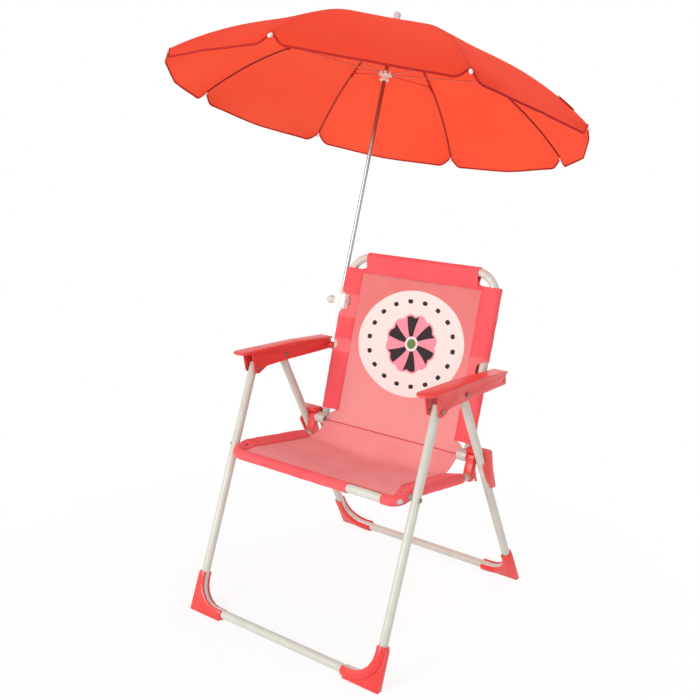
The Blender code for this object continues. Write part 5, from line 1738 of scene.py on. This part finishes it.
@dataclass
class SeatSling:
    """Cloth of the seat: single sheet, side sleeves and front sleeve."""

    plan: ChairPlan
    cloth: float = 0.0008
    front_reach: float = 0.0105
    corner_reach: float = 0.0165
    left_reach: float = 0.0200
    right_reach: float = 0.0300
    reach_run: float = 0.0450
    overlap: float = 0.0030
    rear_gap: float = 0.0160
    bar_open_from: float = 0.0690
    bar_open_to: float = 0.1290
    rivet_hole: float = 0.0056
    sag: float = 0.0105
    rows: int = 34
    columns: int = 36
    tail_span: float = 0.0085
    tail_rise: float = 0.0020
    tail_half: float = 0.1283
    tail_widening: float = 0.0180
    hem_radius: float = 0.0012
    opening_rear: float = 0.0035
    opening_round: float = 0.0060
    corner_hole: float = 0.0050
    corner_hole_turn: float = math.radians(54)
    ripple_scale: float = 28.0
    ripple_depth: float = 0.0018
    fold_pitch: float = 0.0210
    fold_depth: float = 0.0010
    fold_middle: float = 0.0320
    fold_spread: float = 0.0220
    wave_scale: float = 14.0
    wave_depth: float = 0.0007
    sleeve_depth: float = 0.0007
    line_bends: tuple[float, float] = (0.05, 0.03)
    line_steps: int = 24
    corner_from: float = -0.0045
    corner_to: float = 0.0060
    sleeve_scale: float = 70.0
    sleeve_step: float = 0.004
    seam_step: float = 0.003
    seam_piece: float = 0.008
    hole_sides: int = 20
    cutter_half: float = 0.02

    def __post_init__(self) -> None:
        """Works out the side view line that the sheet follows, front to rear."""
        plan = self.plan
        tail = plan.back_foot - Vector((self.tail_span, self.tail_rise))
        self.line = [
            plan.on_side(0, plan.seat_bar),
            plan.on_side(0, plan.seat_bent),
            plan.on_side(0, plan.seat_end - plan.seat_way * self.rear_gap),
            plan.on_side(0, tail),
        ]
        self.line = rounded_path(self.line, self.line_bends, self.line_steps)
        self.whole = path_length(self.line)
        self.front_way = (self.line[1] - self.line[0]).normalized()
        self.front_up = ACROSS.cross(self.front_way).normalized()
        if self.front_up.z < 0:
            self.front_up = -self.front_up

    def reach(self, side: Side, run: float) -> float:
        """Distance from the side tube to its seam.

        Args:
            side: Side of the chair.
            run: Distance behind the front bar along the cloth.

        Returns:
            The distance, small at the front corner and larger behind it.
        """
        share = max(0.0, min(1.0, (run - self.plan.seat_bend) / self.reach_run))
        share = share * share * (3 - 2 * share)
        wide = self.left_reach if side is Side.LEFT else self.right_reach
        return self.corner_reach + (wide - self.corner_reach) * share

    def sheet(self) -> bpy.types.Object:
        """Single layer between the seams."""
        plan = self.plan
        front = self.front_reach - self.overlap
        span = self.whole - front
        places = even_path(self.line, front, self.whole, span / self.rows)
        tail = self.whole - (plan.on_side(0, plan.seat_end) - self.line[-1]).length
        tail -= self.rear_gap
        rows = []
        for r, centre in enumerate(places):
            share = r / (len(places) - 1)
            run = front + span * share
            past = max(0.0, min(1.0, (run - tail) / self.tail_widening))
            edges = []
            for side in (Side.LEFT, Side.RIGHT):
                half = plan.seat_x - self.reach(side, run) + self.overlap
                edges.append(side.value * (half + (self.tail_half - half) * past))
            row = []
            for x in even(*edges, self.columns):
                side = min(1.0, abs(x / edges[0 if x * edges[0] > 0 else 1]))
                hang = self.sag * (1 - side * side) * math.sin(math.pi * share) ** 0.7
                spot = Vector((x, centre.y, 0))
                wave = ripple(spot, self.ripple_scale, self.ripple_depth, 11)
                spot = Vector((x, centre.y * 5, 2))
                wave += ripple(spot, self.wave_scale, self.wave_depth)
                crest = math.sin(2 * math.pi * run / self.fold_pitch + 9 * x)
                spread = (run - self.fold_middle) / self.fold_spread
                wave += self.fold_depth * crest * math.exp(-spread * spread)
                fade = (1 - side**6) * min(1.0, 5 * share, 5 * (1 - share))
                row.append((centre + Vector((x, 0, wave * fade - hang)), (x, run)))
            rows.append(row)
        piece = layer("seat_sheet", SEAT_CLOTH, rows, self.cloth, plan.origin)
        return smooth_by_angle(piece, SMOOTH_ANGLE)

    def rear_hem(self) -> bpy.types.Object:
        """Rolled hem along the rear edge, where the seat meets the back; its deep red is partly
        the folded cloth's own and partly painted shade of the crease.
        """
        ends = [self.line[-1] + ACROSS * x for x in (self.tail_half, -self.tail_half)]
        outline = polygon(self.hem_radius, 10)
        return rod("seat_hem", HEM_CLOTH_CREASE_SHADE, ends, outline, UP, self.plan.origin)

    def sleeve(self) -> bpy.types.Object:
        """Sleeve along the tube from one rear end round the front to the other."""
        plan = self.plan
        whole = plan.seat_path()
        total = path_length(whole)
        path = even_path(whole, self.rear_gap, total - self.rear_gap, self.sleeve_step)
        corner = plan.seat_bend * math.pi / 2
        rows = []
        run = self.rear_gap
        for k, centre in enumerate(path):
            before = path[max(k - 1, 0)]
            run += (centre - before).length
            ahead = path[min(k + 1, len(path) - 1)] - before
            inward = ahead.cross(self.front_up).normalized()
            up = inward.cross(ahead).normalized()
            if up.z < 0:
                up = -up
            from_bar = abs(run - total / 2) - plan.seat_x + plan.seat_bend
            if from_bar < corner:
                share = max(0.0, from_bar / corner)
                widening = (self.corner_reach - self.front_reach) * share
                reach = self.front_reach + widening
            else:
                side = Side.RIGHT if centre.x > 0 else Side.LEFT
                reach = self.reach(side, from_bar - corner + plan.seat_bend)
            row = []
            for place, mark in Sleeve(reach).loop():
                spot = centre + Vector((place.x * 3, 0, 9))
                wave = ripple(spot, self.sleeve_scale, self.sleeve_depth)
                lift = up * (place.y + wave)
                row.append((centre - inward * place.x + lift, (mark, run)))
            rows.append(row)
        piece = layer("seat_sleeve", DOUBLED_CLOTH, rows, self.cloth, plan.origin)
        cutters = [self.hole(side) for side in Side]
        cutters += [self.corner_cutter(), self.bar_cutter()]
        return smooth_by_angle(cut(face_outwards(piece), cutters), SMOOTH_ANGLE)

    def bar_cutter(self) -> bpy.types.Object:
        """Cutter that bares the front bar at the right, round at its rear corners."""
        plan = self.plan
        front = -plan.tube_radius - self.cloth * 6
        turn = self.opening_round
        outline = [Vector((x, front)) for x in (self.bar_open_to, self.bar_open_from)]
        turns = ((self.bar_open_from + turn, 180), (self.bar_open_to - turn, 90))
        for x, first in turns:
            centre = Vector((x, self.opening_rear - turn))
            outline += arc(centre, Vector((turn, turn)), first, -90, 5)
        bar = plan.on_side(0, plan.seat_bar)

        def place(p: Vector, height: float) -> Vector:
            """Place in space of a point of the outline at a height."""
            return bar + ACROSS * p.x + self.front_way * p.y + self.front_up * height

        shape = Shape()
        shape.prism(outline, place, (-self.cutter_half, self.cutter_half))
        return face_outwards(shape.done("opening", DOUBLED_CLOTH, plan.origin))

    def drill(
        self, name: str, ends: Sequence[Vector], radius: float, normal: Vector
    ) -> bpy.types.Object:
        """Round cutter between two places."""
        outline = polygon(radius, self.hole_sides)
        return rod(name, DOUBLED_CLOTH, ends, outline, normal, self.plan.origin)

    def corner_cutter(self) -> bpy.types.Object:
        """Cutter for the small hole that bares the tube at the right front corner."""
        plan = self.plan
        bend = plan.seat_bend
        centre = plan.on_side(plan.seat_x - bend, plan.seat_bar) + self.front_way * bend
        turn = self.corner_hole_turn
        way = ACROSS * math.sin(turn) - self.front_way * math.cos(turn)
        depth = bend + plan.tube_radius
        spans = (self.corner_from, self.corner_to)
        ends = [centre + way * (depth + span) for span in spans]
        return self.drill("corner_hole", ends, self.corner_hole, self.front_up)

    def hole(self, side: Side) -> bpy.types.Object:
        """Cutter for the round hole that the front rivet turns in."""
        plan = self.plan
        inner = plan.seat_x - plan.tube_radius - self.cloth * 4
        spans = (inner, plan.leg_x)
        ends = [plan.on_side(side.value * x, plan.seat_front) for x in spans]
        return self.drill("hole", ends, self.rivet_hole, UP)

    def seam_lines(self) -> list[list[Vector]]:
        """Lines of stitching on top of the seat."""
        plan = self.plan
        lines = []
        whole = plan.seat_run + plan.seat_front_reach
        stop = whole - self.corner_reach
        places = even_path(plan.seat_path(), self.rear_gap, stop, self.seam_piece)
        for inset in (0.0, self.seam_step):
            lift = UP * StitchRow().lift(self.cloth, inset)
            for side in Side:
                line = []
                for k, place in enumerate(places, 1):
                    run = self.rear_gap + path_length(places[:k])
                    seam = plan.seat_x - self.reach(side, whole - run) + inset
                    line.append(Vector((side.value * seam, place.y, place.z)) + lift)
                lines.append(line)
            bar = plan.on_side(0, plan.seat_bar) + lift
            bar += self.front_way * (self.front_reach - inset * 0.3)
            seam = plan.seat_x - self.corner_reach
            lines.append([bar + ACROSS * x for x in (seam, -seam)])
        return lines

    def build(self) -> None:
        """Builds the seat's cloth and its stitching."""
        plan = self.plan
        body = Body.SEAT.value
        parts = [self.sheet(), self.sleeve(), self.rear_hem()]
        piece = joined("seat_sling_cloth", parts)
        dress(piece, body, DOUBLED_CLOTH, ["seat_sling"])
        wide = 2 * plan.seat_x
        for reach in (self.left_reach, self.right_reach):
            wide += Sleeve(reach).length - reach
        tall = self.whole - self.front_reach + Sleeve(self.front_reach).length
        StitchRow().sew("seat_sling_stitches", body, self.seam_lines(), plan.origin)


@dataclass
class ParasolPlan:
    """Places of the parasol, read from its joints."""

    ribs: int = 8
    canopy_radius: float = 0.3565
    canopy_rise: float = 0.1275
    cloth: float = 0.0006
    hem: float = 0.0280
    notch: float = 0.0220
    eye: float = 0.0032
    rib_radius: float = 0.0010
    rib_solid_radius: float = 0.0013
    tip_radius: float = 0.0026
    tip_length: float = 0.0080
    stretcher_radius: float = 0.0009
    pole_radius: float = 0.0033
    clearance: float = 0.0003
    rib_slack: float = 0.0005

    def __post_init__(self) -> None:
        """Reads the pole's axis and the hinges."""
        self.axis = Vector(JOINTS["pole_turn"]["axis"]).normalized()
        self.foot = Vector(JOINTS["pole_turn"]["pos_m"])
        reach = self.canopy_radius**2 + self.canopy_rise**2
        self.ball = reach / (2 * self.canopy_rise)
        self.rib_drop = (
            self.cloth / 2 + self.clearance + self.rib_solid_radius + self.rib_slack
        )
        hinge = Vector(JOINTS["rib_1_turn"]["pos_m"])
        along = (hinge - self.foot).dot(self.axis)
        self.hinge_ring = (hinge - self.foot - self.axis * along).length
        self.hinge_height = self.dome(self.hinge_ring, self.rib_drop).y
        self.rim = self.foot + self.axis * (along - self.hinge_height)

    def dome(self, radius: float, drop: float = 0.0) -> Vector:
        """Place (radius, height over the rim) at a drop under the ribs' line."""
        height = math.sqrt(self.ball**2 - radius**2)
        share = 1 - drop / self.ball
        return Vector(
            (radius * share, height * share - self.ball + self.canopy_rise)
        )

    def rib_place(self, number: int) -> Matrix:
        """Frame of a rib: X along its radius, Z along the pole."""
        hinge = Vector(JOINTS[f"rib_{number}_turn"]["pos_m"])
        out = hinge - self.rim
        out = (out - self.axis * out.dot(self.axis)).normalized()
        side = self.axis.cross(out)
        place = Matrix((out, side, self.axis)).transposed().to_4x4()
        return Matrix.Translation(self.rim) @ place

    def rib_side(self, number: int) -> Vector:
        """Direction square to a rib and to the pole."""
        return self.rib_place(number).to_3x3() @ Vector((0, 1, 0))

    def on_rib(self, number: int, radius: float, drop: float) -> Vector:
        """Place in space at a radius, at a drop under a rib's line."""
        spot = self.dome(radius, drop)
        return self.rib_place(number) @ Vector((spot.x, 0, spot.y))


@dataclass
class Canopy:
    """Cloth of the parasol, one gore for each rib, with hem, binding and ties."""

    plan: ParasolPlan
    rows: int = 20
    columns: int = 26
    hem_rows: int = 3
    slack: float = 0.0035
    binding: float = 0.0036
    binding_bulge: float = 0.0011
    seam_width: float = 0.0030
    seam_drop: float = 0.0006
    tie_radius: float = 0.0022
    tie_places: tuple[float, float] = (0.36, 0.55)
    squash_keep: float = 0.06
    smooth_angle: float = 70.0
    seam_bulge: float = 0.0004
    tie_length: float = 0.0060
    tie_ahead: float = 0.02
    hem_lean: float = 0.3

    def gore_place(self, radius: float, share: float, hem: float) -> Vector:
        """Place on a gore in its rib's frame.

        Args:
            radius: Distance from the pole along the rib.
            share: -1 to 1 from the middle of one panel to the next.
            hem: Distance past the rib's end.

        Returns:
            The place.
        """
        plan = self.plan
        half = math.pi / plan.ribs
        on_rib = plan.dome(min(radius, plan.canopy_radius))
        width = abs(share)
        out = Vector((math.cos(half), math.sin(half), 0))
        middle = out * (on_rib.x * math.cos(half)) + UP * on_rib.y
        place = Vector((on_rib.x, 0.0, on_rib.y)).lerp(middle, width)
        fullness = (on_rib.x / plan.canopy_radius) ** 2
        dip = self.slack * fullness * math.sin(math.pi * width / 2) ** 2
        if hem > 0:
            slope = plan.canopy_radius / (plan.ball - plan.canopy_rise)
            cut_share = plan.notch / (on_rib.x * math.sin(half))
            reach = math.sin(math.pi / 2 * min(1.0, width / cut_share))
            drop = hem * reach / math.hypot(1, slope)
            place += out * drop * (self.hem_lean + (1 - self.hem_lean) * width)
            place.z -= drop * slope
        place.z -= dip
        if share < 0:
            place.y = -place.y
        return place

    def gore_row(self, number: int, radius: float, hem: float) -> list[Spot]:
        """Places across one gore at a radius, with their cloth marks."""
        place = self.plan.rib_place(number)
        shares = even(-1, 1, 2 * self.columns)
        spots = [self.gore_place(radius, share, hem) for share in shares]
        return [(place @ spot, (spot.y, radius + hem)) for spot in spots]

    def gore(self, number: int) -> bpy.types.Object:
        """One gore, from mid panel to mid panel."""
        plan = self.plan
        rim = plan.canopy_radius
        stations = [(radius, 0.0) for radius in even(plan.eye, rim, self.rows)]
        stations += [(rim, hem) for hem in even(0.0, plan.hem, self.hem_rows)[1:]]
        rows = [self.gore_row(number, radius, hem) for radius, hem in stations]
        piece = layer(f"canopy_gore_{number}", CANOPY_CLOTH, rows, plan.cloth)
        # Painted light: faces that look down take the lighter underside colour
        two_tone(piece, CANOPY_UNDERSIDE_LIGHT, self.faces_down)
        return smooth_by_angle(piece, self.smooth_angle)

    def faces_down(self, face: bpy.types.MeshPolygon) -> bool:
        """Whether a face of the cloth looks to the foot of the pole."""
        return face.normal.dot(self.plan.axis) < 0

    def tapes(self, number: int) -> list[bpy.types.Object]:
        """Binding of the hem, seam over the rib, and ties that hold the rib."""
        plan = self.plan
        side = plan.rib_side(number)
        row = self.gore_row(number, plan.canopy_radius, plan.hem)
        hem = [place for place, _ in row]
        start = plan.eye + plan.hinge_ring
        drop = plan.cloth / 2 + self.seam_drop
        radii = even(start, plan.canopy_radius, self.rows)
        seam = [plan.on_rib(number, radius, drop) for radius in radii]
        edge = ellipse(self.binding_bulge, self.binding / 2, 10)
        flat = ellipse(self.seam_bulge, self.seam_width / 2, 8)
        pieces = [
            rod(f"canopy_binding_{number}", BINDING_CLOTH, hem, edge, plan.axis),
            # The seam strip's dark red is partly the seam's own colour and partly painted shade
            # of the rib under the cloth
            rod(f"canopy_seam_{number}", BINDING_CLOTH, seam, flat, side),
        ]
        outline = polygon(self.tie_radius, 10)
        for order, share in enumerate(self.tie_places, 1):
            radii = [plan.canopy_radius * s for s in (share, share + self.tie_ahead)]
            centre, ahead = (plan.on_rib(number, r, plan.rib_drop) for r in radii)
            ends = [centre, centre + (ahead - centre).normalized() * self.tie_length]
            name = f"canopy_tie_{number}_{order}"
            pieces.append(rod(name, BINDING_CLOTH, ends, outline, side))
        return pieces

    def build(self) -> None:
        """Builds the gores; each rides on its rib."""
        plan = self.plan
        for number in range(1, plan.ribs + 1):
            parts = [self.gore(number), *self.tapes(number)]
            piece = joined(f"canopy_cloth_{number}", parts)
            nodes = ["canopy"] if number == 1 else []
            dress(piece, f"rib_{number}_arm", CANOPY_CLOTH, nodes)
            tuple(plan.rib_side(number))
            tuple(plan.rim)
            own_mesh(piece)


@dataclass
class ParasolMetal:
    """Pole, ribs, stretchers, hubs, finial and strap."""

    plan: ParasolPlan
    sides: int = 12
    pole_sides: int = 24
    finial_radius: float = 0.0068
    finial_height: float = 0.0333
    finial_shares: tuple[tuple[float, float], ...] = (
        (0.30, 0.95), (0.335, 0.84), (0.375, 0.80), (0.42, 0.94), (0.45, 0.96),
        (0.90, 0.95), (0.96, 0.86), (0.99, 0.62), (1.0, 0.20),
    )
    finial_foot: tuple[tuple[float, float], ...] = (
        (0.0, 0.0060), (0.0, 0.0090), (0.0008, 0.0095), (0.0018, 0.0086),
        (0.0024, 0.0070),
    )
    finial_angle: float = 45.0
    rib_steps: int = 24
    tip_collar: tuple[tuple[float, float], ...] = ((-0.004, 0.62), (-0.001, 0.72))
    tip_shares: tuple[tuple[float, float], ...] = (
        (0.0, 0.98), (0.3, 1.0), (0.75, 0.95), (0.93, 0.75), (1.0, 0.40),
    )
    fork_half: tuple[float, float] = (0.0024, 0.0017)
    fork_marks: tuple[tuple[float, float], ...] = (
        (-0.0022, 0.6), (-0.0014, 1.0), (0.008, 0.9), (0.010, 0.55),
    )
    pole_inset: float = 0.0011
    hub_edge: float = 0.0003

    def rib(self, number: int) -> bpy.types.Object:
        """One rib with its white tip."""
        plan = self.plan
        side = plan.rib_side(number)
        start = Vector((plan.hinge_ring, 0, plan.hinge_height))
        path = [plan.rib_place(number) @ start]
        radii = even(plan.hinge_ring, plan.canopy_radius, self.rib_steps)
        path += [plan.on_rib(number, radius, plan.rib_drop) for radius in radii[1:]]
        outline = polygon(plan.rib_radius, self.sides)
        # The wire's dark red tint is painted reflection of the canopy and painted shade
        name = f"rib_wire_{number}"
        wire = rod(name, RIB_WIRE_PAINTED_REFLECTION, path, outline, side, angle=METAL_ANGLE)
        out = (path[-1] - path[-2]).normalized()
        base = path[-1] + out * plan.tip_radius
        marks = [*self.tip_collar]
        marks += [(share * plan.tip_length, size) for share, size in self.tip_shares]
        tip = rod(
            f"rib_tip_{number}",
            WHITE_PLASTIC,
            [base + out * along for along, _ in marks],
            polygon(plan.tip_radius, self.sides),
            side,
            angle=METAL_ANGLE,
            scales=[size for _, size in marks],
        )
        return joined(f"rib_{number}_dressed", [wire, tip])

    def stretcher(self, number: int) -> bpy.types.Object:
        """One stretcher with a flattened, pinned end."""
        plan = self.plan
        place = plan.rib_place(number)
        side = plan.rib_side(number)
        joint = Vector(JOINTS[f"stretcher_{number}_turn"]["pos_m"])
        low = 2 * (place.inverted() @ joint).z - plan.hinge_height
        hub = place @ Vector((plan.hinge_ring, 0, low))
        way = (hub - joint).normalized()
        outline = polygon(plan.stretcher_radius, self.sides)
        # The wire's pink tint is painted reflection of the canopy
        name = f"stretcher_rod_{number}"
        wire = rod(name, STRETCHER_WIRE_PAINTED_REFLECTION, [joint, hub], outline, side, angle=METAL_ANGLE)
        fork = rod(
            f"stretcher_fork_{number}",
            STRETCHER_WIRE_PAINTED_REFLECTION,
            [joint + way * along for along, _ in self.fork_marks],
            ellipse(*self.fork_half, self.sides),
            side,
            angle=METAL_ANGLE,
            scales=[size for _, size in self.fork_marks],
        )
        return joined(f"stretcher_{number}_dressed", [wire, fork])

    def pole(self) -> bpy.types.Object:
        """The pole as a bright tube."""
        low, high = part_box("pole")
        plan = self.plan
        centre = plan.foot + plan.axis * ((low + high) / 2 - plan.foot).dot(plan.axis)
        reach = plan.axis * ((high.z - low.z) / plan.axis.z / 2 - self.pole_inset)
        outline = polygon(plan.pole_radius, self.pole_sides)
        ends = [centre - reach, centre + reach]
        return rod("pole_tube", CHROME, ends, outline, ACROSS, angle=METAL_ANGLE)

    def finial(self) -> bpy.types.Object:
        """Turned cap over the middle of the canopy."""
        plan = self.plan
        seat = plan.canopy_rise + plan.cloth / 2 + plan.clearance
        profile = [(seat + along, radius) for along, radius in self.finial_foot]
        for along, size in self.finial_shares:
            height = seat + self.finial_height * along
            profile.append((height, self.finial_radius * size))
        shape = Shape()
        shape.turned(profile, self.pole_sides, plan.rib_place(1))
        return shape.solid("finial_cap", FINIAL_PLASTIC, angle=self.finial_angle)

    def build(self) -> None:
        """Builds the metal and the hubs."""
        for number in range(1, self.plan.ribs + 1):
            rib = f"rib_{number}"
            dress(self.rib(number), rib + "_arm", CHROME, [rib])
            stretcher = f"stretcher_{number}"
            dress(self.stretcher(number), stretcher + "_arm", CHROME, [stretcher])
        dress(self.pole(), Body.POLE.value, CHROME, ["pole"])
        dress(self.finial(), Body.POLE.value, WHITE_PLASTIC, ["finial"])
        for node, label, body, finish in (
            ("crown", "hub", Body.POLE.value, WHITE_PLASTIC),
            ("runner", "hub", Body.RUNNER.value, WHITE_PLASTIC),
            ("tie_strap", "tape", "rib_1_arm", BINDING_CLOTH),
        ):
            piece = softened_solid(node, f"{node}_{label}", finish, self.hub_edge)
            dress(piece, body, finish, [node])


@dataclass
class Clamp:
    """Clamp of the parasol on the back's left tube."""

    edge: float = 0.0009
    knob_edge: float = 0.0008

    def build(self) -> None:
        """Builds the two halves and the knob."""
        for node, body, finish, edge in (
            ("clamp_body", Body.BACK, WHITE_PLASTIC, self.edge),
            ("clamp_jaw", Body.BACK, WHITE_PLASTIC, self.edge),
            ("clamp_knob", Body.SCREW, CLEAR_PLASTIC, self.knob_edge),
        ):
            piece = softened_solid(node, node + "_moulded", finish, edge)
            dress(piece, body.value, finish, [node])


@dataclass
class Studio:
    """Camera at the photograph's place, soft light and a pale floor."""

    origin: Vector
    azimuth: float = math.radians(37.79)
    elevation: float = math.radians(15.81)
    roll: float = math.radians(-0.18)
    distance: float = 1.288
    target: tuple[float, float, float] = (0.0871, 0.0, 0.4485)
    focal_pixels: float = 978.8
    sensor: float = 36.0
    sky: float = 0.62
    floor_near: float = 0.42
    floor_fade: float = 0.30
    shadow_share: float = 0.16
    floor_size: float = 8.0
    floor_grey: tuple[int, int, int] = (250, 250, 250)
    sky_colour: tuple[float, float, float] = (1.0, 0.99, 0.98)
    lit_middle: tuple[float, float, float] = (0.0, 0.15, 0.45)
    lamps: tuple[tuple[str, tuple[float, float, float], float, float], ...] = (
        ("key", (-0.6, -2.3, 1.5), 1.4, 42.0),
        ("fill", (2.2, -1.2, 1.0), 2.2, 8.0),
        ("rim", (0.4, 2.0, 2.4), 1.8, 22.0),
    )

    def camera(self) -> None:
        """Sets the camera."""
        way = Vector(
            (
                math.sin(self.azimuth) * math.cos(self.elevation),
                -math.cos(self.azimuth) * math.cos(self.elevation),
                math.sin(self.elevation),
            )
        )
        data = bpy.data.cameras.new("photograph_view")
        data.lens = self.focal_pixels * self.sensor / PHOTO_SIDE
        data.sensor_width = self.sensor
        data.sensor_fit = "HORIZONTAL"
        data.clip_end = 50.0
        camera = placed("photograph_view", data)
        turn = way.to_track_quat("Z", "Y").to_matrix().to_4x4()
        place = Vector(self.target) + self.origin + way * self.distance
        camera.matrix_world = (
            Matrix.Translation(place) @ turn @ Matrix.Rotation(self.roll, 4, "Z")
        )
        bpy.context.scene.camera = camera

    def seen(self, work: Tree) -> Number:
        """1 for rays that should meet the white background."""
        rays = work.node("ShaderNodeLightPath").outputs
        kinds = ("Is Camera Ray", "Is Glossy Ray", "Is Transmission Ray")
        camera, glossy, through = (Number(work, rays[kind]) for kind in kinds)
        return camera.larger(glossy).larger(through)

    def world(self) -> None:
        """White surroundings that light the chair softly."""
        world = bpy.data.worlds.new("white_studio")
        world.use_nodes = True
        bpy.context.scene.world = world
        work = Tree(world.node_tree)
        sky = {"Color": self.sky_colour, "Strength": self.sky}
        lit = work.out("ShaderNodeBackground", sky)
        white = work.out("ShaderNodeBackground", {"Color": (1.0, 1.0, 1.0)})
        mixed = work.out("ShaderNodeMixShader", {0: self.seen(work), 1: lit, 2: white})
        work.node("ShaderNodeOutputWorld", {0: mixed})

    def floor(self) -> None:
        """Pale floor that keeps a faint shadow."""
        paint = Paint("pale_floor")
        grey = {"Color": screen_colour(*self.floor_grey)}
        matt = paint.out("ShaderNodeBsdfDiffuse", grey)
        glow = {"Color": (1.0, 1.0, 1.0), "Strength": 1.0}
        white = paint.out("ShaderNodeEmission", glow)
        across, along, _ = paint.parts(paint.place())
        away = (across - self.origin.x).length_with(along - self.origin.y)
        near = away.inside(self.floor_near, self.floor_fade)
        mask = self.seen(paint) * (1 - near * self.shadow_share)
        mixed = paint.out("ShaderNodeMixShader", {0: mask, 1: matt, 2: white})
        half = self.floor_size / 2
        signs = ((-1, -1), (1, -1), (1, 1), (-1, 1))
        corners = [(half * x, half * y, 0) for x, y in signs]
        data = bpy.data.meshes.new("floor")
        data.from_pydata(corners, [], [(0, 1, 2, 3)])
        data.materials.append(paint.finish(mixed))
        placed("floor", data)

    def lamp(
        self, name: str, place: tuple[float, float, float], size: float, power: float
    ) -> None:
        """Large soft lamp that faces the middle of the chair."""
        data = bpy.data.lights.new(name, "AREA")
        data.shape = "DISK"
        data.size = size
        data.energy = power
        lamp = placed(name, data)
        way = Vector(place) - Vector(self.lit_middle)
        lamp.location = Vector(place) + self.origin
        lamp.rotation_euler = way.to_track_quat("Z", "Y").to_euler()

    def build(self) -> None:
        """Builds the studio."""
        bpy.context.scene.view_settings.view_transform = "Standard"
        self.camera()
        self.world()
        self.floor()
        for lamp in self.lamps:
            self.lamp(*lamp)


def main() -> None:
    """Builds the dressed chair."""
    logging.basicConfig(level=logging.INFO, format="%(name)s: %(message)s")
    plan = ChairPlan()
    parasol = ParasolPlan()
    builders: tuple[Callable[[], None], ...] = (
        SteelFrames(plan).build,
        MouldedParts(plan).build,
        Rivets(plan).build,
        BackSling(plan).build,
        SeatSling(plan).build,
        Clamp().build,
        ParasolMetal(parasol).build,
        Canopy(parasol).build,
        Studio(plan.origin).build,
    )
    for build in builders:
        build()


if __name__ == "__main__":
    main()
